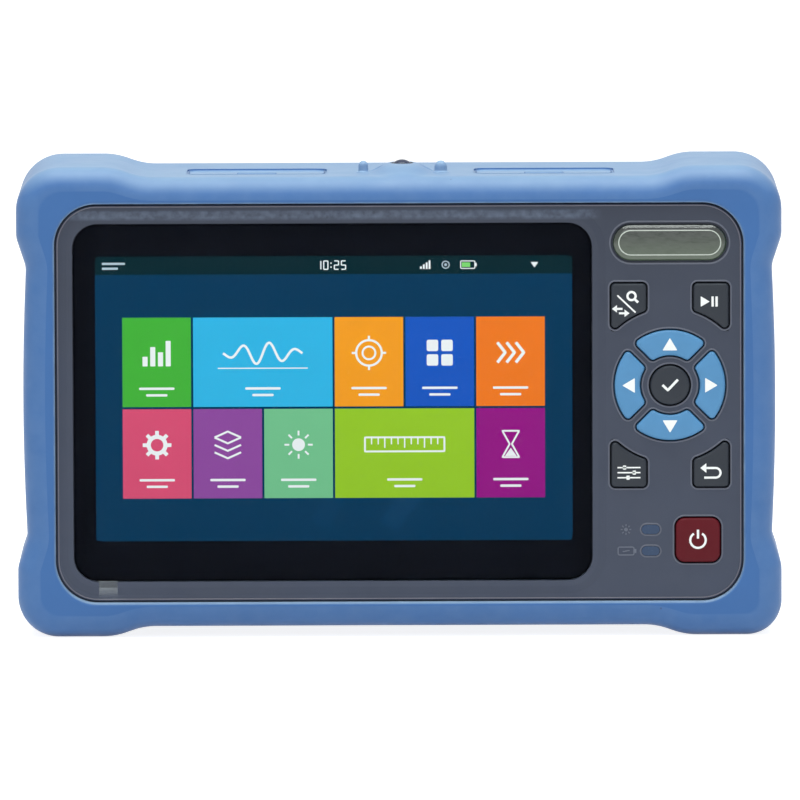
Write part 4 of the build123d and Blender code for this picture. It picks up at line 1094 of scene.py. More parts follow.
@dataclass
class Torch:
    """Torch on the top edge: a clear dome in a dark cup that the rubber hump closes round."""

    ring_radius: float = 2.6 * MM
    foot: float = 2.0 * MM
    dome_sunk: float = 0.5 * MM
    cup_deep: float = 0.7 * MM
    cup_base: float = 1.6 * MM
    cup_gap: float = 0.04 * MM
    cup_edge: float = 0.15 * MM
    pole: float = 0.05 * MM
    ring: Finish = Finish("torch_ring_dark", "torch_ring", linear(12, 14, 26), roughness=0.4, specular=0.25,
                          cloud=0.06, cloud_scale=400.0, grain_depth=0.002 * MM)
    clear: Finish = Finish("torch_dome_clear", "torch_clear", linear(58, 66, 92), roughness=0.14, cloud=0.25,
                           cloud_scale=900.0, gloss_spread=0.05, grain=Grain.SMOOTH, specular=0.3,
                           transmission=0.25, ior=1.45)

    def dome(self, radius: float, foot: float, top: float) -> Surface:
        """Spherical cap on a short wall: a cap of height h and foot radius r has the radius (r^2 + h^2) / 2h.

        Args:
            radius: of its foot.
            foot, top: heights that the cap spans.

        Returns:
            The closed dome.
        """
        rise = top - foot
        sphere = (radius ** 2 + rise ** 2) / (2 * rise)
        turn = np.linspace(math.asin(radius / sphere), 0.03, 14)
        cap = np.column_stack((sphere * np.sin(turn), top - sphere * (1 - np.cos(turn))))
        dome = Surface()
        dome.grid(lathe(np.vstack(((radius, foot - self.dome_sunk), cap)), TORCH_X, TORCH_DEPTH), caps=True)
        return dome

    def cup(self, radius: float, foot: float) -> Surface:
        """Cup round the dome, with a bevelled rim.

        Args:
            radius: of the dome.
            foot: height of the dome's foot.

        Returns:
            The closed cup.
        """
        inner, outer, edge = radius + self.cup_gap, self.ring_radius, self.cup_edge
        wall = np.array((
            (self.pole, foot - self.cup_base), (outer, foot - self.cup_base), (outer, foot),
            (outer - edge, foot + edge), (inner + edge, foot + edge), (inner, foot),
            (inner, foot - self.cup_deep), (self.pole, foot - self.cup_deep),
        ))
        cup = Surface()
        cup.grid(lathe(wall, TORCH_X, TORCH_DEPTH), caps=True)
        return cup

    def make(self) -> None:
        """Build the dome and the cup in the place of the CAD's lens and ring."""
        low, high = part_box("torch_lens")
        radius, foot = (high.x - low.x) / 2, BOOT_TOP + self.foot
        piece = build("torch_dome", self.dome(radius, foot, high.z), self.clear)
        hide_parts("torch_lens")
        piece = build("torch_cup", self.cup(radius, foot), self.ring)
        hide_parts("torch_bezel")


@dataclass
class Studio:
    """Plain pale floor, soft light and the camera at the photograph's viewing angle."""

    distance: float = 3.016
    elevation: float = 5.9
    roll: float = 0.2
    scale: float = 0.2264 * MM
    target: tuple[float, float] = (0.16 * MM, 0.72 * MM)
    sensor: float = 36.0
    frame_pixels: float = 800.0
    clip: tuple[float, float] = (0.05, 30.0)
    floor_half: float = 6.0
    floor_drop: float = 0.02 * MM
    floor_glow: float = 0.86
    world_level: float = 0.5
    gloss_share: float = 0.7
    overhead: float = 12.6
    front: float = 2.3
    tube: float = 1.1
    white: Colour = (1.0, 1.0, 1.0)
    tinge: Colour = (0.93, 1.0, 0.96)

    def camera(self) -> None:
        """Set the camera: its lens makes one pixel as wide as the scale says at the boot's front plane."""
        data = bpy.data.cameras.new("camera")
        data.sensor_width = self.sensor
        data.lens = self.distance / self.scale * self.sensor / self.frame_pixels
        data.clip_start, data.clip_end = self.clip
        camera = stand("camera", data)
        lean = math.radians(self.elevation)
        camera.location = (self.target[0], FRONT_Y - self.distance * math.cos(lean),
                           MID_Z + self.target[1] + self.distance * math.sin(lean))
        camera.rotation_mode = "ZYX"
        camera.rotation_euler = (math.pi / 2 - lean, 0.0, math.radians(-self.roll))
        bpy.context.scene.camera = camera

    @staticmethod
    def lamp(name: str, place: tuple[float, float, float], size: tuple[float, float], power: float,
             colour: Colour) -> None:
        """Hang one soft rectangular lamp that looks at the object.

        Args:
            name: its name.
            place: where it hangs.
            size: its width and height.
            power: in watts.
            colour: of its light.
        """
        data = bpy.data.lights.new(name, "AREA")
        data.shape = "RECTANGLE"
        data.size, data.size_y = size
        data.energy = power
        data.color = colour
        lamp = stand(name, data)
        lamp.location = place
        way = np.array((0.0, 0.0, MID_Z)) - np.array(place)
        lean = math.atan2(math.hypot(way[0], way[1]), -way[2])
        lamp.rotation_euler = (lean, 0.0, math.atan2(way[1], way[0]) - math.pi / 2)

    def floor(self) -> None:
        """Lay the pale floor: white to the camera but for the object's shadow, plain to every other ray."""
        steps = np.linspace(-self.floor_half, self.floor_half, 13)
        x, y = np.meshgrid(steps, steps)
        plane = Surface()
        plane.grid(np.stack((x, y, np.full_like(x, -self.floor_drop)), axis=-1), wrap_columns=False)
        mesh = bpy.data.meshes.new("floor")
        mesh.from_pydata(np.concatenate(plane.points).tolist(), [], plane.faces)
        tree = NodeTree(bpy.data.materials.new("pale_floor"))
        path = tree.add("LightPath").outputs
        seen = tree.maths("MAXIMUM", path["Is Camera Ray"], path["Is Glossy Ray"])
        seen = tree.maths("MAXIMUM", seen, path["Is Transmission Ray"])
        matt = tree.add("BsdfDiffuse", Color=(0.8, 0.8, 0.8)).outputs[0]
        shade = tree.add("BsdfDiffuse", Color=(0.5, 0.5, 0.5)).outputs[0]
        glow = tree.add("Emission", Color=self.white, Strength=self.floor_glow).outputs[0]
        lit = tree.add("AddShader", at0=shade, at1=glow).outputs[0]
        mesh.materials.append(tree.output(tree.add("MixShader", at0=seen, at1=matt, at2=lit).outputs[0]))
        floor = stand("floor", mesh)

    def world(self) -> None:
        """Dim even sky for light, white where the camera or glass sees it and nearly so to gloss."""
        world = bpy.data.worlds.new("world")
        bpy.context.scene.world = world
        tree = NodeTree(world)
        path = tree.add("LightPath").outputs
        seen = tree.maths("MAXIMUM", path["Is Camera Ray"], path["Is Transmission Ray"])
        gloss = tree.add("Math", {"operation": "MULTIPLY_ADD"}, at0=path["Is Glossy Ray"], at1=self.gloss_share,
                         at2=seen)
        strength = tree.spread(gloss.outputs[0], self.world_level, 1.0, 0.0, 1.0)
        tree.output(tree.add("Background", Color=self.white, Strength=strength).outputs[0])

    def make(self) -> None:
        """Set up the stage, the lamps and the camera."""
        self.floor()
        self.world()
        self.lamp("overhead_lamp", (0.0, -0.12, 1.1), (1.2, 0.8), self.overhead, self.tinge)
        self.lamp("front_lamp", (-0.25, -1.5, 0.75), (1.0, 0.8), self.front, self.white)
        self.lamp("tube_lamp", (0.0, -0.62, 0.95), (0.7, 0.04), self.tube, self.tinge)
        self.camera()
        bpy.context.scene.view_settings.view_transform = "Standard"


@dataclass(frozen=True)
class Film(Finish):
    """Protective film: all but clear on the glass, frosted on the pull tab and clear again at its tip."""

    tab_below: float = 0.0
    haze: float = 0.001
    frost: float = 0.13
    frost_start: float = 0.15 * MM
    tip_fade: tuple[float, float] = (3.6 * MM, 1.6 * MM)

    def shader(self, tree: NodeTree) -> bpy.types.Node:
        """Film shader, with its cover worked out from the height.

        Args:
            tree: the material's nodes.

        Returns:
            The shader node.
        """
        rise = tree.maths("SUBTRACT", tree.height(), self.tab_below)
        cover = tree.spread(rise, self.frost, self.haze, -self.frost_start, self.frost_start)
        streaks = tree.maths("MULTIPLY", tree.spread(tree.noise(400.0, 4.0), 0.8, 1.0),
                             tree.spread(rise, 0.1, 1.0, -self.tip_fade[0], -self.tip_fade[1]))
        shader = tree.add("BsdfPrincipled", Base_Color=self.tint(tree), Roughness=self.roughness,
                          Alpha=tree.maths("MULTIPLY", cover, streaks))
        self.fix(shader)
        return shader


@dataclass(frozen=True)
class Resin(Finish):
    """Clear dome over a printed plate: painted lighter and greener low down as a reflection, with a pale printed
    line where it is marked.
    """

    # Painted reflection: lighter, greener colour towards the dome's foot
    painted_reflection_colour: Colour = linear(64, 81, 60)
    line_colour: Colour = linear(205, 214, 205)
    low: float = 0.0
    high: float = 0.0

    def tint(self, tree: NodeTree) -> bpy.types.NodeSocket:
        """Printed colour seen through the resin, painted lighter and greener low down as a reflection.

        Args:
            tree: the material's nodes.

        Returns:
            The colour.
        """
        share = tree.spread(tree.height(), 0.0, 1.0, self.low, self.high)
        body = tree.blend(share, self.painted_reflection_colour, super().tint(tree))
        return tree.blend(tree.spread(tree.mark("pale_mark"), 0.0, 0.85, 0.4, 0.6), body, self.line_colour)


@dataclass(frozen=True)
class BoardFinish(Finish):
    """Circuit board: lacquer over a weave of copper tracks."""

    track: Colour = linear(46, 128, 84)
    track_scale: float = 240.0
    track_pitch: float = 0.12
    track_edge: tuple[float, float] = (0.035, 0.05)

    def tint(self, tree: NodeTree) -> bpy.types.NodeSocket:
        """Lacquer, lighter over its tracks.

        Args:
            tree: the material's nodes.

        Returns:
            The colour.
        """
        cells = tree.add("TexVoronoi", {"distance": "CHEBYCHEV"}, Vector=tree.place(), Scale=self.track_scale)
        wave = tree.maths("PINGPONG", cells.outputs["Distance"], self.track_pitch)
        return tree.blend(tree.spread(wave, 0.0, 1.0, *self.track_edge), super().tint(tree), self.track)


class Ink:
    """Printed or raised marks that follow the surface under them."""

    def __init__(self, under: Callable[[Array], Array], thick: float = 0.03 * MM,
                 root: float = 0.08 * MM) -> None:
        """Start with no marks.

        Args:
            under: gives the depth of the surface under points of the face's plane.
            thick: how far the marks stand out of it.
            root: how far they reach into it.
        """
        self.under = under
        self.thick = thick
        self.root = root
        self.surface = Surface()

    def patch(self, corners: Array, tint: Colour | None = None, radius: float = 0.0, steps: int = 8) -> None:
        """Fill a polygon that is seen whole from its middle.

        Args:
            corners: its corners, run anticlockwise.
            tint: its colour.
            radius: how far its corners are rounded.
            steps: points along each side.
        """
        corners = np.asarray(corners, dtype=float)
        if radius:
            corners = filleted(np.column_stack((corners, np.full(len(corners), radius))), 5)
        share = np.linspace(0, 1, steps, endpoint=False)[:, None]
        ring = np.concatenate([a + share * (b - a) for a, b in zip(corners, np.roll(corners, -1, 0))])
        hub = ring.mean(axis=0)
        rings = [hub + s * (ring - hub) for s in (1.0, 1.0, 0.66, 0.33)]
        depths = [self.under(ring) + self.root] + [self.under(plane) - self.thick for plane in rings[1:]]
        self.surface.grid(behind(rings, depths), caps=True, tint=tint)

    def stroke(self, path: Array, width: float, closed: bool = False, tint: Colour | None = None,
               step: float = 0.25 * MM) -> None:
        """Draw a line of even width along a path.

        Each point's sides lie half the width to the left and the right of the way between its neighbours.

        Args:
            path: points of shape (n, 2).
            width: of the line.
            closed: whether the last point joins the first.
            tint: its colour.
            step: how finely the path is divided.
        """
        path = np.asarray(path, dtype=float)
        route = np.vstack((path, path[:1])) if closed else path
        steps = np.hypot(*np.diff(route, axis=0).T)
        count = np.maximum(1, np.ceil(steps / step)).astype(int)
        pieces = [a + np.linspace(0, 1, n, endpoint=False)[:, None] * (b - a)
                  for a, b, n in zip(route[:-1], route[1:], count)]
        line = np.concatenate(pieces if closed else pieces + [route[-1:]])
        ahead, back = (np.roll(line, shift, 0) for shift in (-1, 1))
        if not closed:
            ahead[-1], back[0] = line[-1], line[0]
        way = ahead - back
        way /= np.hypot(*way.T)[:, None]
        side = np.column_stack((-way[:, 1], way[:, 0])) * width / 2
        plane = np.stack((line + side, line + side, line - side, line - side), axis=1)
        depth = self.under(plane.reshape(-1, 2)).reshape(plane.shape[:2])
        depth = depth + np.array((self.root, -self.thick, -self.thick, self.root))
        self.surface.grid(upright(plane, depth), wrap_rows=closed, caps=not closed, tint=tint)

    def disc(self, x: float, z: float, radius: float, tint: Colour | None = None) -> None:
        """Fill a circle."""
        self.patch(circle(radius, 28).moved(x, z).points, tint, steps=1)

    def ring(self, x: float, z: float, radius: float, width: float, tint: Colour | None = None) -> None:
        """Draw a circle's line."""
        self.stroke(circle(radius, 36).moved(x, z).points, width, True, tint)

    def box(self, x: float, z: float, wide: float, tall: float, radius: float = 0.0,
            tint: Colour | None = None) -> None:
        """Fill a rectangle about its middle."""
        corners = np.array(((1, 1), (-1, 1), (-1, -1), (1, -1))) * (wide / 2, tall / 2) + (x, z)
        self.patch(corners, tint, radius, 4)

    def rays(self, x: float, z: float, reach: tuple[float, float], count: int, width: float,
             tint: Colour | None = None) -> None:
        """Draw short lines that point away from a middle.

        Args:
            x, z: the middle.
            reach: where each line starts and ends, counted from the middle.
            count: how many lines there are.
            width: of each line.
            tint: their colour.
        """
        ray = np.array(((reach[0], 0.0), (reach[1], 0.0)))
        for index in range(count):
            self.stroke(spun(ray, 360 / count * index) + (x, z), width, tint=tint)


def flat(depth: float) -> Callable[[Array], Array]:
    """Depth of a plane that faces the front."""
    return lambda plane: np.full(len(plane), depth)


class Sign(Enum):
    """Pictograms of the keys."""

    UP = "up"
    DOWN = "down"
    LEFT = "left"
    RIGHT = "right"
    TICK = "ok"
    LENS = "zoom"
    RUN = "play"
    SLIDERS = "set"
    BACK = "esc"
    POWER = "power"


@dataclass
class KeyCap:
    """Silicone key: a cap with a soft edge and a crowned front, its wall, and the flange that keeps it in."""

    sign: Sign
    outline: Outline
    finish: Finish
    front: float = 0.5 * MM
    crown: float = 0.16 * MM
    crown_reach: float = 2.6 * MM
    edge: float = 0.5 * MM
    front_shares: tuple[float, ...] = (0.15, 0.35, 0.55, 0.72, 0.86, 0.95)
    flange: tuple[float, float] = (4.0 * MM, 4.8 * MM)
    flange_over: float = 0.6 * MM
    mark_line: float = 0.5 * MM
    ink: Finish = Finish("key_ink", "key_dark", linear(250, 252, 253), roughness=0.55, cloud=0.03,
                         cloud_scale=300.0, grain_depth=0.004 * MM)

    def depth_at(self, plane: Array) -> Array:
        """Depth of the cap's front at points of its plane.

        It falls by a quarter circle over the edge and by a flat parabola over the reach of the crown,
        both measured from the outline.

        Args:
            plane: the points.

        Returns:
            The depth under each of them.
        """
        away = np.hypot(*(plane[:, None] - self.outline.points[None]).transpose(2, 0, 1)).min(axis=1)
        slope = self.crown * (1 - np.clip(away / self.crown_reach, 0, 1)) ** 2
        inside = np.clip(self.edge - away, 0, self.edge)
        return self.front + slope + self.edge - np.sqrt(self.edge ** 2 - inside ** 2)

    def cap(self) -> Surface:
        """Rings from the middle of the front, over the edge and down the wall to the flange.

        Returns:
            The closed cap.
        """
        insets, _ = corner_arc(self.edge, 8)
        core = self.outline.grown(-self.edge)
        hub = core.mean(axis=0)
        planes = [hub + share * (core - hub) for share in self.front_shares]
        planes += [self.outline.grown(-inset) for inset in insets]
        depths = [self.depth_at(plane) for plane in planes[:-1]]
        over = self.outline.grown(self.flange_over)
        planes += [self.outline.points, over, over]
        depths += [self.front + self.crown + self.edge, self.flange[0], *self.flange]
        cap = Surface()
        cap.grid(behind(planes, depths), caps=True)
        return cap

    def draw(self) -> Ink:
        """Draw the key's pictogram about the middle of its sign's place, in millimetres from there.

        Returns:
            The marks.
        """
        ink, line = Ink(self.depth_at), self.mark_line
        x, z = self.spot

        def stroke(points: Sequence, share: float = 1.0) -> None:
            """Stroke a path with a share of the usual line."""
            ink.stroke(np.array(points) * MM + (x, z), line * share)

        def patch(points: Sequence | Array, radius: float = 0.0) -> None:
            """Fill a polygon with slightly rounded corners."""
            ink.patch(np.array(points) * MM + (x, z), radius=radius * MM)

        arrow = np.array(((1.45, 0), (-1.4, 1.7), (-1.4, -1.7)))
        turn = {Sign.UP: 90, Sign.DOWN: 270, Sign.LEFT: 180, Sign.RIGHT: 0}
        if self.sign in turn:
            patch(spun(arrow, turn[self.sign]), 0.12)
        elif self.sign is Sign.TICK:
            stroke(((-1.7, 0.1), (-0.5, -1.1), (1.8, 1.3)), 1.15)
        elif self.sign is Sign.LENS:
            ink.ring(x + 0.75 * MM, z + 1.55 * MM, 0.92 * MM, line * 1.05)
            stroke(((1.45, 0.85), (2.25, 0.1)), 1.15)
            stroke(((-2.45, 1.7), (1.65, -2.2)), 0.75)
            for side, height in ((-1, -1.35), (1, -2.35)):
                start = np.array((-1.7 + side * 0.75, height))
                stroke(np.array(((-1.15, 0), (0.3, 0))) * side + start, 0.95)
                patch(np.array(((1.25, 0), (0.1, 0.85), (0.1, -0.85))) * side + start)
        elif self.sign is Sign.RUN:
            patch(((0.05, 0), (-2.0, 1.2), (-2.0, -1.2)), 0.08)
            for side in (0.7, 1.6):
                ink.box(x + side * MM, z, 0.52 * MM, 2.3 * MM)
        elif self.sign is Sign.SLIDERS:
            for row, knob in ((1.15, -1.0), (0.0, 1.2), (-1.15, -0.2)):
                stroke(((-2.6, row), (2.6, row)), 0.62)
                ink.box(x + knob * MM, z + row * MM, 0.75 * MM, 0.95 * MM, 0.15 * MM)
        elif self.sign is Sign.BACK:
            stroke(((-1.3, 1.0), *arc(0.9, -0.1, 1.1, 90, -90, 14), (-1.7, -1.2)))
            patch(((-2.6, 1.0), (-1.2, -0.1), (-1.2, 2.1)), 0.06)
        else:
            stroke(arc(0, 0, 1.75, 122, 418, 40))
            stroke(((0, 0.35), (0, 2.4)), 1.05)
        return ink

    @property
    def spot(self) -> tuple[float, float]:
        """Middle of the pictogram."""
        return tuple(self.outline.middle())

    def make(self) -> None:
        """Build the cap and its pictogram on the key's own body."""
        node = "key_" + self.sign.value
        piece = build(node + "_cap", self.cap(), self.finish, node)
        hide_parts(node)
        build(node + "_sign", self.draw().surface, self.ink, node)


@dataclass
class CornerKey(KeyCap):
    """Key over or under the direction pad, whose sign stands towards its wider end."""

    sign_shift: tuple[float, float] = (0.0, 0.0)

    @property
    def spot(self) -> tuple[float, float]:
        """Middle of the pictogram."""
        x, z = self.outline.middle()
        return x + self.sign_shift[0], z + self.sign_shift[1]


@dataclass
class PadKey(KeyCap):
    """Key of the direction pad, whose sign stands on the ring's middle line."""

    heart: tuple[float, float] = (0.0, 0.0)
    sign_radius: float = 9.35 * MM

    @property
    def spot(self) -> tuple[float, float]:
        """Middle of the pictogram."""
        turn = {Sign.RIGHT: (1, 0), Sign.UP: (0, 1), Sign.LEFT: (-1, 0), Sign.DOWN: (0, -1)}[self.sign]
        return tuple(h + self.sign_radius * t for h, t in zip(self.heart, turn))


@dataclass
class Keypad:
    """Ten keys, their softened openings, the two light windows and their raised signs."""

    heart: tuple[float, float] = (61.3 * MM, 3.782 * MM)
    pad_radius: float = 12.5 * MM
    pad_inner: float = 6.8 * MM
    web_half: float = 1.1 * MM
    ok_radius: float = 4.45 * MM
    corner_x: tuple[float, float] = (5.35 * MM, 13.3 * MM)
    corner_top: float = 23.15 * MM
    arc_radius: float = 17.75 * MM
    corner_radius: float = 0.9 * MM
    power_at: tuple[float, float] = (67.6 * MM, -31.52 * MM)
    power_side: float = 10.0 * MM
    power_radius: float = 2.0 * MM
    gap: float = 0.35 * MM
    rim: float = 0.42 * MM
    rim_rise: float = 0.09 * MM
    rim_sunk: float = 0.02 * MM
    rim_depths: tuple[float, float] = (1.2 * MM, 0.2 * MM)
    window_x: float = 56.9 * MM
    window_size: tuple[float, float] = (4.1 * MM, 2.1 * MM)
    window_z: tuple[float, float] = (-29.12 * MM, -34.02 * MM)
    window_gap: float = 0.05 * MM
    window_rise: float = 0.1 * MM
    window_fall: float = 0.3 * MM
    window_back: float = 3.6 * MM
    sign_away: float = 5.6 * MM
    sign_line: float = 0.24 * MM
    dark: Finish = Finish("key_charcoal", "key_dark", linear(38, 44, 54), roughness=0.46, specular=0.36,
                          cloud=0.05, cloud_scale=160.0, grain_scale=4200.0, grain_depth=0.006 * MM)
    blue: Finish = Finish("key_sky_blue", "key_blue", linear(84, 143, 192), roughness=0.44, specular=0.4,
                          cloud=0.04, cloud_scale=160.0, grain_scale=4200.0, grain_depth=0.006 * MM)
    red: Finish = Finish("key_dark_red", "key_red", linear(93, 12, 26), roughness=0.5, specular=0.2,
                         cloud=0.05, cloud_scale=160.0, grain_scale=4200.0, grain_depth=0.006 * MM)
    # Paler than the housing plastic: a painted highlight on the raised signs
    sign_finish: Finish = Finish("moulded_sign", "shell", linear(96, 102, 120), roughness=0.36, specular=0.6,
                                 cloud=0.06, cloud_scale=200.0, grain_depth=0.004 * MM)
    # Paler and glossier than the housing plastic: a painted highlight on the opening rims
    rim_finish: Finish = Finish("opening_rim", "shell", linear(84, 89, 106), roughness=0.34, specular=0.6,
                                cloud=0.05, grain_depth=0.003 * MM)
    window: Finish = Finish("light_window", "lens_smoke", linear(44, 66, 98), roughness=0.24, specular=0.25,
                            cloud=0.05, cloud_scale=500.0, coat=0.2, grain=Grain.SMOOTH)

    def corner(self, across: int, up: int) -> Outline:
        """Outline of one corner key: three straight sides and a fourth along a circle about the pad.

        A fillet that meets that circle has its centre one fillet radius outside it.

        Args:
            across, up: 1 or -1, the corner that the key is in.

        Returns:
            Its outline.
        """
        r = self.corner_radius
        left, right, top = self.corner_x[0] + r, self.corner_x[1] - r, self.corner_top - r
        reach = self.arc_radius + r
        low_right, low_left = (math.sqrt(reach ** 2 - x ** 2) for x in (right, left))
        turn_right = math.degrees(math.atan2(low_right, right))
        turn_left = math.degrees(math.atan2(low_left, left))
        path = np.concatenate((
            arc(right, low_right, r, turn_right + 180, 360, 12),
            arc(right, top, r, 0, 90, 10),
            arc(left, top, r, 90, 180, 10),
            arc(left, low_left, r, 180, turn_left + 180, 10),
            arc(0, 0, self.arc_radius, turn_left, turn_right, 20)[1:-1],
        )) * (across, up)
        return Outline.along(path[::across * up], 200).moved(*self.heart)

    def sector(self, turn: float) -> Outline:
        """Outline of one pad key: a quarter ring with straight webs left beside it.

        With n the outward normal of a straight side, its fillet centres c have n.c = -(web + r), and lie
        one fillet radius inside the outer circle or outside the inner one.

        Args:
            turn: degrees from the right that the key lies at.

        Returns:
            Its outline.
        """
        r = self.corner_radius
        side = -(self.web_half + r)
        normal, along = np.array((-1, 1)) / math.sqrt(2), np.array((1, 1)) / math.sqrt(2)
        outer, inner = (side * normal + math.sqrt(reach ** 2 - side ** 2) * along
                        for reach in (self.pad_radius - r, self.pad_inner + r))
        wide = math.degrees(math.atan2(outer[1], outer[0]))
        near = math.degrees(math.atan2(inner[1], inner[0]))
        path = np.concatenate((
            arc(0, 0, self.pad_radius, -wide, wide, 40)[1:-1],
            arc(*outer, r, wide, 135, 12),
            arc(*inner, r, 135, near + 180, 8),
            arc(0, 0, self.pad_inner, near, -near, 24)[1:-1],
            arc(inner[0], -inner[1], r, 180 - near, 225, 8),
            arc(outer[0], -outer[1], r, 225, 360 - wide, 12),
        ))
        return Outline.along(spun(path, turn), 240).moved(*self.heart)

    def keys(self) -> list[KeyCap]:
        """All ten keys.

        Returns:
            The pad's four, the corners' four, the one in the middle and the power key.
        """
        pad = [PadKey(sign, self.sector(turn), self.blue, heart=self.heart)
               for sign, turn in ((Sign.RIGHT, 0), (Sign.UP, 90), (Sign.LEFT, 180), (Sign.DOWN, 270))]
        corners = [
            CornerKey(Sign.LENS, self.corner(-1, 1), self.dark, sign_shift=(-0.1 * MM, 0.7 * MM)),
            CornerKey(Sign.RUN, self.corner(1, 1), self.dark, sign_shift=(-0.35 * MM, 0.95 * MM)),
            CornerKey(Sign.SLIDERS, self.corner(-1, -1), self.dark, sign_shift=(0.0, -1.75 * MM)),
            CornerKey(Sign.BACK, self.corner(1, -1), self.dark, sign_shift=(0.1 * MM, -1.75 * MM)),
        ]
        okay = KeyCap(Sign.TICK, circle(self.ok_radius, 160).moved(*self.heart), self.dark)
        side = self.power_side
        power = KeyCap(Sign.POWER, rounded(side, side, self.power_radius, 220).moved(*self.power_at), self.red)
        return [*pad, *corners, okay, power]

    def windows(self) -> list[Outline]:
        """Outlines of the two light windows."""
        wide, tall = self.window_size
        return [rounded(wide, tall, tall / 2, 80).moved(self.window_x, z) for z in self.window_z]

    def bead(self, surface: Surface, outline: Outline, gap: float) -> None:
        """Run a low half-round rim round an opening.

        Args:
            surface: the surface to add to.
            outline: of what the opening holds.
            gap: how far outside that outline the rim starts.
        """
        turn = np.linspace(0, np.pi, 7)
        out = gap - self.rim_sunk + self.rim / 2 * (1 - np.cos(turn))
        depth = FACE_DEPTH + self.rim_sunk - self.rim_rise * np.sin(turn)
        deep, shallow = self.rim_depths
        surface.grid(behind([outline.grown(o) for o in (out[0], *out, out[-1])],
                            (FACE_DEPTH + deep, *depth, FACE_DEPTH + shallow)), wrap_rows=True)

    def lights(self) -> None:
        """Build the domed windows of the two lights: each falls by the sixth power of the way to its edge."""
        half = self.window_size[1] / 2
        for node, outline in zip(("led_lens_power", "led_lens_charge"), self.windows()):
            shares = np.array((0.5, 0.66, 0.8, 0.9, 0.96, 1.0))
            planes = [outline.grown(half * (share - 1)) for share in (*shares, 1.0)]
            fronts = FACE_DEPTH - self.window_rise + self.window_fall * shares ** 6
            dome = Surface()
            dome.grid(behind(planes, (*fronts, self.window_back)), caps=True)
            build(node + "_dome", dome, self.window)

    def signs(self) -> None:
        """Raise a sun by the power light and a cell with its spark by the charging light."""
        ink, line = Ink(flat(FACE_DEPTH), 0.1 * MM), self.sign_line
        x = self.window_x - self.sign_away
        sun_z, cell_z = self.window_z
        ink.disc(x, sun_z, 0.42 * MM)
        ink.rays(x, sun_z, (0.75 * MM, 1.2 * MM), 8, line)
        ink.stroke(rounded(3.6 * MM, 1.8 * MM, 0.35 * MM, 60).moved(x, cell_z).points, 0.26 * MM, closed=True)
        ink.box(x + 2.15 * MM, cell_z, 0.4 * MM, 0.9 * MM)
        spark = np.array(((-0.75, -0.12), (0.2, -0.05), (-0.15, 0.05), (0.8, 0.12)))
        ink.stroke(spark * MM + (x, cell_z), line)
        build("light_signs", ink.surface, self.sign_finish)

    def make(self) -> None:
        """Build the keys, the rims of their openings and the lights."""
        rims = Surface()
        for key in self.keys():
            key.make()
            self.bead(rims, key.outline, self.gap)
        for outline in self.windows():
            self.bead(rims, outline, self.window_gap)
        build("opening_rims", rims, self.rim_finish)
        self.lights()
        self.signs()


@dataclass
class Badge:
    """Domed badge without a name: grey-green plate and pale line under clear resin."""

    place: tuple[float, float] = (61.3 * MM, 36.193 * MM)
    size: tuple[float, float] = (25.7 * MM, 8.2 * MM)
    front: float = 0.8 * MM
    back: float = 1.7 * MM
    gap: float = 0.5 * MM
    slope: float = 1.6 * MM
    edge_fall: float = 0.78 * MM
    crown: float = 0.04 * MM
    insets: tuple[float, ...] = (
        0.98, 0.8, 0.62, 0.45, 0.4, 0.36, 0.345, 0.3, 0.285, 0.24, 0.2, 0.16, 0.12, 0.08, 0.04, 0.0)
    line: tuple[float, float] = (0.29, 0.35)

    def make(self) -> None:
        """Build the dome, whose front falls by a parabola over the slope, and the rim of its recess."""
        wide, tall = self.size
        half = tall / 2
        outline = rounded(wide, tall, half, 240).moved(*self.place)
        inset = np.array(self.insets)
        fall = np.maximum(1 - inset * half / self.slope, 0.0) ** 2
        depths = np.minimum(self.front + self.edge_fall * fall + self.crown * (1 - inset), self.back)
        marks = (self.line[0] < inset) & (inset < self.line[1])
        dome = Surface()
        dome.grid(behind([outline.grown(-half * share) for share in (*inset, 0.0)], (*depths, self.back)),
                  caps=True, mark=np.append(marks, False).astype(float))
        middle = MID_Z + self.place[1]
        # The resin is painted lighter and greener low down as a reflection
        finish = Resin("badge_print", "badge_resin", linear(28, 37, 36), roughness=0.16, cloud=0.07,
                       cloud_scale=260.0, coat=1.0, grain_scale=420.0, grain_depth=0.1 * MM,
                       low=middle - 0.9 * half, high=middle + 0.8 * half)
        piece = build("badge_resin_dome", dome, finish)
        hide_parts("badge_dome")
        rim = Surface()
        Keypad().bead(rim, outline, self.gap)
        build("badge_recess_rim", rim, Keypad.rim_finish)


class Glyph(Enum):
    """Plain symbols of the menu's tiles."""

    BARS = "bars"
    WAVE = "wave"
    TARGET = "target"
    SQUARES = "squares"
    CHEVRONS = "chevrons"
    COG = "cog"
    LAYERS = "layers"
    SUN = "sun"
    RULER = "ruler"
    GLASS = "glass"


@dataclass(frozen=True)
class Tile:
    """One tile of the menu: its symbol, its colour and how many columns it spans."""

    glyph: Glyph
    colour: Colour
    span: int = 1


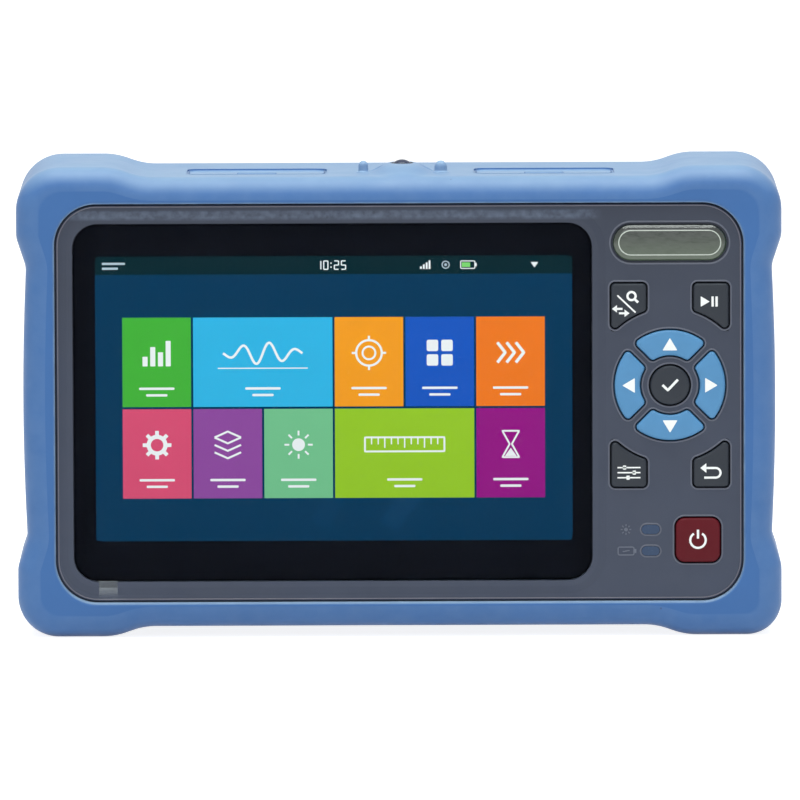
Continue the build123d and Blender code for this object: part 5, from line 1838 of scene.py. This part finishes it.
@dataclass
class Display:
    """Lit menu behind the cover glass, with the black print round it."""

    middle: tuple[float, float] = (-14.8 * MM, 0.9 * MM)
    size: tuple[float, float] = (108.0 * MM, 64.8 * MM)
    bar: float = 4.15 * MM
    block: tuple[float, float, float] = (-62.7 * MM, 19.4 * MM, 95.7 * MM)
    tile_tall: float = 20.35 * MM
    tile_gap: float = 0.5 * MM
    columns: int = 6
    back: float = 2.46 * MM
    print_shy: float = 0.3 * MM
    print_radius: float = 5.35 * MM
    print_open: float = 0.25 * MM
    print_ahead: tuple[float, float] = (0.04 * MM, 0.01 * MM)
    margin: float = 3.0 * MM
    arc_line: float = 4.5 * MM
    digit_size: tuple[float, float] = (0.95 * MM, 1.9 * MM)
    digit_line: float = 0.26 * MM
    symbol_rise: float = 2.0 * MM
    white: Colour = linear(232, 240, 242)
    soft: Colour = linear(176, 196, 208)
    rows: tuple[tuple[Tile, ...], ...] = (
        (Tile(Glyph.BARS, linear(66, 175, 58)), Tile(Glyph.WAVE, linear(48, 178, 226), 2),
         Tile(Glyph.TARGET, linear(240, 156, 35)), Tile(Glyph.SQUARES, linear(24, 86, 190)),
         Tile(Glyph.CHEVRONS, linear(235, 120, 35))),
        (Tile(Glyph.COG, linear(211, 79, 115)), Tile(Glyph.LAYERS, linear(138, 74, 156)),
         Tile(Glyph.SUN, linear(112, 190, 140)), Tile(Glyph.RULER, linear(146, 197, 43), 2),
         Tile(Glyph.GLASS, linear(145, 22, 130))),
    )
    lit: Glow = Glow("lit_menu", "panel", linear(19, 58, 90))
    border: Finish = Finish("glass_print", "screen_glass", linear(6, 9, 18), roughness=0.6, specular=0.02,
                           cloud=0.08, cloud_scale=300.0, grain=Grain.SMOOTH)
    glass: Finish = Finish("cover_glass_clear", "screen_glass", (1.0, 1.0, 1.0), roughness=0.04, specular=0.1,
                           cloud=0.0, gloss_spread=0.02, grain=Grain.SMOOTH, transmission=1.0, ior=1.05)

    def mask(self) -> None:
        """Print the black border on the back of the glass, open over the lit area."""
        low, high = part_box("cover_glass")
        wide, tall = high.x - low.x - self.print_shy, high.z - low.z - self.print_shy
        outer = rounded(wide, tall, self.print_radius, 240)
        outer = outer.moved((low.x + high.x) / 2, (low.z + high.z) / 2 - MID_Z)
        inner = rounded(*self.size, self.print_open, 240).moved(*self.middle)
        front, rear = (high.y - FRONT_Y - ahead for ahead in self.print_ahead)
        band = Surface()
        band.grid(behind([edge.points for edge in (outer, inner, inner, outer)], (front, front, rear, rear)),
                  wrap_rows=True)
        build("glass_border", band, self.border)

    def backdrop(self) -> Surface:
        """Navy field with two wide faint arcs, and the status bar above it.

        Returns:
            Their surface.
        """
        x, z = self.middle
        wide, tall = self.size
        ink = Ink(flat(self.back), 0.0)
        ink.box(x, z, wide + MM, tall + MM, tint=linear(2, 54, 88))
        top = z + tall / 2
        bar = Ink(flat(self.back - 0.02 * MM), 0.0, 0.01 * MM)
        bar.box(x, top - self.bar / 2, wide, self.bar, tint=linear(4, 37, 45))
        for radius, tint in ((44 * MM, linear(10, 61, 97)), (58 * MM, linear(6, 58, 93))):
            sweep = arc(x + 50 * MM, z - 52 * MM, radius, 96, 172, 60)
            across, up = sweep.T
            inside = np.abs(across - x) < wide / 2 - self.margin
            inside &= (up > z - tall / 2 + self.margin) & (up < top - self.bar - self.margin)
            bar.stroke(sweep[inside], self.arc_line, tint=tint)
        ink.surface.join(bar.surface)
        return ink.surface

    def digit(self, ink: Ink, x: float, z: float, value: int) -> None:
        """Draw one of the clock's numerals from straight segments.

        Args:
            ink: the marks to add to.
            x: its left side.
            z: its middle height.
            value: 0, 1, 2 or 5.
        """
        ends = {"top": ((0, 1), (1, 1)), "mid": ((0, 0.5), (1, 0.5)), "low": ((0, 0), (1, 0)),
                "lu": ((0, 0.5), (0, 1)), "ll": ((0, 0), (0, 0.5)),
                "ru": ((1, 0.5), (1, 1)), "rl": ((1, 0), (1, 0.5))}
        used = {0: "top low lu ll ru rl", 1: "ru rl", 2: "top ru mid ll low", 5: "top lu mid rl low"}[value]
        foot = z - self.digit_size[1] / 2
        for name in used.split():
            ink.stroke(np.array(ends[name]) * self.digit_size + (x, foot), self.digit_line, tint=self.white)

    def status(self, ink: Ink) -> None:
        """Draw the clock, two label bars and plain icons in the status bar.

        Args:
            ink: the marks to add to.
        """
        z = self.middle[1] + self.size[1] / 2 - self.bar / 2
        left = self.middle[0] - self.size[0] / 2
        ink.box(left + 4.2 * MM, z + 0.45 * MM, 5.2 * MM, 0.5 * MM, tint=self.soft)
        ink.box(left + 3.4 * MM, z - 0.65 * MM, 3.6 * MM, 0.5 * MM, tint=self.soft)
        for place, value in zip((-18.6, -17.0, -14.6, -13.0), (1, 0, 2, 5)):
            self.digit(ink, place * MM, z, value)
        for drop in (-0.45, 0.45):
            ink.disc(-15.35 * MM, z + drop * MM, 0.17 * MM, tint=self.white)
        for index in range(4):
            tall = (0.6 + 0.45 * index) * MM
            ink.box((5.0 + 0.65 * index) * MM, z - 0.95 * MM + tall / 2, 0.42 * MM, tall, tint=self.white)
        ink.ring(10.6 * MM, z, 0.8 * MM, 0.24 * MM, tint=self.soft)
        ink.disc(10.6 * MM, z, 0.32 * MM, tint=self.soft)
        cell = rounded(3.2 * MM, 1.7 * MM, 0.2 * MM, 60).moved(15.6 * MM, z)
        ink.stroke(cell.points, 0.22 * MM, True, self.white)
        ink.box(15.2 * MM, z, 1.9 * MM, 1.05 * MM, tint=linear(120, 210, 110))
        ink.box(17.45 * MM, z, 0.35 * MM, 0.8 * MM, tint=self.white)
        corners = np.array(((0, -0.7), (0.85, 0.55), (-0.85, 0.55))) * MM
        ink.patch(corners + (30.7 * MM, z), tint=self.white)

    def symbol(self, ink: Ink, glyph: Glyph, x: float, z: float) -> None:
        """Draw one tile's symbol.

        Args:
            ink: the marks to add to.
            glyph: which symbol.
            x, z: its middle.
        """
        line, white = 0.5 * MM, self.white
        at = np.array((x, z))

        def stroke(points: Iterable, closed: bool = False, width: float = line) -> None:
            """Stroke a path given in millimetres about the middle."""
            ink.stroke(np.array(points) * MM + at, width, closed, white)

        if glyph is Glyph.BARS:
            for index, tall in enumerate((2.2, 4.4, 3.2, 5.8)):
                ink.box(x + (index - 1.5) * 1.75 * MM, z + (tall / 2 - 2.9) * MM, 1.15 * MM, tall * MM,
                        0.12 * MM, white)
        elif glyph is Glyph.WAVE:
            run = np.linspace(-9, 9, 72)
            swing = 2.5 * np.sin(run * 1.05) * np.exp(-(run / 7.5) ** 2)
            stroke(np.column_stack((run, swing)), width=0.55 * MM)
            stroke(((-10.2, -3.4), (10.2, -3.4)), width=0.25 * MM)
        elif glyph is Glyph.TARGET:
            ink.ring(x, z, 2.9 * MM, line, white)
            ink.ring(x, z, 1.45 * MM, line * 0.9, white)
            ink.rays(x, z, (2.9 * MM, 3.9 * MM), 4, line, white)
        elif glyph is Glyph.SQUARES:
            for across in (-1, 1):
                for up in (-1, 1):
                    ink.box(x + across * 1.65 * MM, z + up * 1.65 * MM, 2.6 * MM, 2.6 * MM, 0.4 * MM, white)
        elif glyph is Glyph.CHEVRONS:
            for shift in (-2.1, 0.0, 2.1):
                stroke(((shift - 0.9, 2.3), (shift + 0.9, 0), (shift - 0.9, -2.3)), width=0.7 * MM)
        elif glyph is Glyph.COG:
            ink.ring(x, z, 1.9 * MM, 0.95 * MM, white)
            ink.rays(x, z, (2.2 * MM, 3.25 * MM), 8, 0.85 * MM, white)
        elif glyph is Glyph.LAYERS:
            for rise in (1.7, 0.0, -1.7):
                stroke(((-3, rise), (0, rise - 1.35), (3, rise)), width=0.45 * MM)
            stroke(((-3, 1.7), (0, 3.05), (3, 1.7)), width=0.45 * MM)
        elif glyph is Glyph.SUN:
            ink.disc(x, z, 1.45 * MM, white)
            ink.rays(x, z, (2.1 * MM, 3.2 * MM), 8, 0.42 * MM, white)
        elif glyph is Glyph.RULER:
            stroke(((-9, 1.6), (-9, -1.6), (9, -1.6), (9, 1.6)), True, 0.42 * MM)
            for index in range(1, 12):
                tall = 1.5 if index % 3 else 2.3
                stroke(((-9 + 1.5 * index, 1.5), (-9 + 1.5 * index, 1.5 - tall)), width=0.3 * MM)
        else:
            stroke(((-1.9, 3), (1.9, 3), (0.25, 0), (1.9, -3), (-1.9, -3), (-0.25, 0)), True, 0.4 * MM)
            ink.patch(np.array(((0, -0.9), (-1.35, -2.75), (1.35, -2.75))) * MM + at, white)

    def menu(self, tiles: Ink, glyphs: Ink) -> None:
        """Lay the tiles out in rows, each with its symbol and two short caption bars.

        Args:
            tiles: the marks that the tiles are added to.
            glyphs: the marks that the symbols and captions are added to.
        """
        left, top, wide = self.block
        pitch = (wide + self.tile_gap) / self.columns
        for row, line in enumerate(self.rows):
            column = 0
            z = top - self.tile_tall / 2 - row * (self.tile_tall + self.tile_gap)
            for tile in line:
                width = tile.span * pitch - self.tile_gap
                x = left + column * pitch + width / 2
                tiles.box(x, z, width, self.tile_tall, tint=tile.colour)
                self.symbol(glyphs, tile.glyph, x, z + self.symbol_rise)
                for index, share in enumerate((0.5, 0.3)):
                    glyphs.box(x, z - (6.0 + 1.5 * index) * MM, share * pitch, 0.55 * MM, 0.2 * MM, self.white)
                column += tile.span

    def make(self) -> None:
        """Build the lit picture, the border and the glass over them."""
        self.mask()
        build("menu_backdrop", self.backdrop(), self.lit)
        tiles = Ink(flat(self.back - 0.035 * MM), 0.0, 0.01 * MM)
        glyphs = Ink(flat(self.back - 0.05 * MM), 0.0, 0.01 * MM)
        self.menu(tiles, glyphs)
        self.status(glyphs)
        build("menu_tiles", tiles.surface, self.lit)
        build("menu_symbols", glyphs.surface, self.lit)
        self.glass.dress(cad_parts["cover_glass"])
        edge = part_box("cover_glass")[0].z
        Film("film_clear", "film", linear(222, 228, 230), roughness=0.28, specular=0.1, cloud=0.04,
             tab_below=edge).dress(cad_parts["screen_film"])


@dataclass
class FaceTrim:
    """Outer edge of the face: a ring that carries it close to the boot's lip, with a fine bead painted pale as a
    highlight.
    """

    size: tuple[float, float, float] = (155.4 * MM, 90.1 * MM, 9.2 * MM)
    shy: float = 0.02 * MM
    edge: float = 0.26 * MM
    inner: float = 1.5 * MM
    deep: float = 2.4 * MM
    proud: float = 0.03 * MM
    bead_half: float = 0.15 * MM
    bead_in: float = 0.1 * MM
    bead_proud: float = 0.02 * MM
    bead_rise: float = 0.1 * MM
    bead_root: float = 0.2 * MM
    # Paler than the housing plastic: a painted highlight on the bead
    finish: Finish = Finish("face_edge", "shell", linear(104, 102, 115), roughness=0.36, specular=0.55,
                            cloud=0.08, cloud_scale=120.0, grain_depth=0.004 * MM)

    def make(self) -> None:
        """Build the ring and run the bead along its rounded edge."""
        outline = rounded(*self.size, 420)
        insets, drops = corner_arc(self.edge, 6)
        out = [-self.inner, *(-self.shy - insets), -self.shy, -self.inner]
        depth = [FACE_DEPTH, *(FACE_DEPTH - self.proud + drops), self.deep, self.deep]
        ring = Surface()
        ring.grid(behind([outline.grown(o) for o in out], depth), wrap_rows=True)
        build("face_edge_ring", ring, SHELL)
        turn = np.linspace(0, np.pi, 7)
        middle = -self.shy - self.edge - self.bead_in
        out = [*(middle - self.bead_half * np.cos(turn)), middle + self.bead_half, middle - self.bead_half]
        depth = [*(FACE_DEPTH - self.bead_proud - self.bead_rise * np.sin(turn)),
                 FACE_DEPTH + self.bead_root, FACE_DEPTH + self.bead_root]
        bead = Surface()
        bead.grid(behind([outline.grown(o) for o in out], depth), wrap_rows=True)
        build("face_edge_bead", bead, self.finish)


# Finishes of the pieces that keep their CAD shape
SHELL = HousingPlastic("shell_plastic", "shell", linear(56, 63, 81), roughness=0.5, specular=0.42,
                       grain=Grain.LEATHERY, grain_scale=3600.0, grain_depth=0.014 * MM)
STAND = Finish("stand_plastic", "shell", linear(60, 65, 79), roughness=0.55, specular=0.4, grain=Grain.LEATHERY,
               grain_scale=3000.0, grain_depth=0.02 * MM)
GASKET = Finish("gasket_rubber", "seal", linear(34, 35, 39), roughness=0.72, specular=0.3)
ADHESIVE = Finish("adhesive_foam", "seal", linear(22, 22, 25), roughness=0.85, specular=0.2, grain_scale=1800.0)
STEEL = Finish("brushed_steel", "steel", linear(182, 184, 188), roughness=0.3, metallic=1.0, cloud=0.06,
               grain=Grain.BRUSHED, grain_scale=5200.0, grain_depth=0.004 * MM)
TIN = Finish("tinned_steel", "steel", linear(198, 200, 202), roughness=0.38, metallic=1.0, cloud=0.08,
             cloud_scale=120.0, grain_depth=0.004 * MM)
PANEL = Finish("panel_glass", "panel", linear(24, 26, 32), roughness=0.16, coat=0.6, grain=Grain.SMOOTH)
BRACKET = Finish("bracket_aluminium", "bracket", linear(168, 172, 176), roughness=0.42, metallic=1.0,
                 grain=Grain.BRUSHED, grain_scale=4200.0, grain_depth=0.005 * MM)
MAT = Finish("mat_silicone", "silicone", linear(70, 74, 82), roughness=0.62, specular=0.35)
BOARD = BoardFinish("board_lacquer", "circuit_board", linear(24, 92, 58), roughness=0.34, coat=0.3, cloud=0.1)
CAST = Finish("cast_aluminium", "cast_box", linear(150, 153, 158), roughness=0.55, metallic=0.9, cloud=0.1,
              grain_scale=1500.0, grain_depth=0.03 * MM)
TRAY = Finish("tray_nylon", "tray_plastic", linear(44, 47, 54), roughness=0.58, grain_depth=0.01 * MM)
JACK = Finish("jack_plastic", "tray_plastic", linear(30, 31, 34), roughness=0.42, grain_depth=0.005 * MM)
FIBRE = Finish("fibre_jacket_yellow", "fibre_jacket", linear(222, 184, 40), roughness=0.45, cloud=0.06)
WRAP = Finish("cell_wrap_blue", "cell_wrap", linear(38, 92, 150), roughness=0.3, coat=0.3, grain=Grain.SMOOTH)
NICKEL = Finish("nickel_plate", "nickel", linear(196, 190, 178), roughness=0.26, metallic=1.0, cloud=0.06,
                grain_scale=5200.0, grain_depth=0.003 * MM)
CERAMIC = Finish("zirconia_white", "zirconia", linear(232, 232, 226), roughness=0.2, coat=0.4,
                 grain=Grain.SMOOTH)
LIGHT = Finish("light_chip", "led", linear(214, 216, 196), roughness=0.4, cloud=0.1, cloud_scale=900.0)
SPEAKER = Finish("speaker_can", "steel", linear(58, 60, 64), roughness=0.5, metallic=0.4)
PLATE = Finish("badge_plate_grey", "badge", linear(86, 98, 93), roughness=0.4, cloud=0.05)

CAD_FINISHES = {
    SHELL: ("front_shell", "rear_shell"),
    STAND: ("kickstand",),
    GASKET: ("housing_gasket",),
    ADHESIVE: ("glass_adhesive",),
    STEEL: ("housing_screws", "board_screws", "kickstand_pins"),
    TIN: ("shield_cans", "dome_switches"),
    PANEL: ("lcd_panel",),
    BRACKET: ("lcd_frame",),
    MAT: ("keypad_mat",),
    BOARD: ("keypad_board", "main_board"),
    CAST: ("optical_module",),
    TRAY: ("port_tray_left", "port_tray_right", "fibre_tray", "battery_holder"),
    JACK: ("rj45_jack",),
    FIBRE: ("fibre_coil",),
    WRAP: ("battery_cells",),
    NICKEL: ("otdr_adapter", "opm_adapter", "vfl_adapter", "adapter_nuts", "usb_jack"),
    CERAMIC: ("ferrule_sleeves",),
    LIGHT: ("status_leds", "torch_led"),
    SPEAKER: ("speaker",),
    PLATE: ("badge_plate",),
    Keypad.window: ("led_lens_power", "led_lens_charge"),
}


def main() -> None:
    """Build every sub-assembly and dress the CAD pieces."""
    logging.basicConfig(level=logging.INFO, format="%(name)s: %(message)s")
    Studio().make()
    RubberBoot().make()
    for flap in PortFlap.both():
        flap.make()
    Torch().make()
    FaceTrim().make()
    Keypad().make()
    Badge().make()
    Display().make()
    for finish, nodes in CAD_FINISHES.items():
        for node in nodes:
            finish.dress(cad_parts[node])


if __name__ == "__main__":
    main()
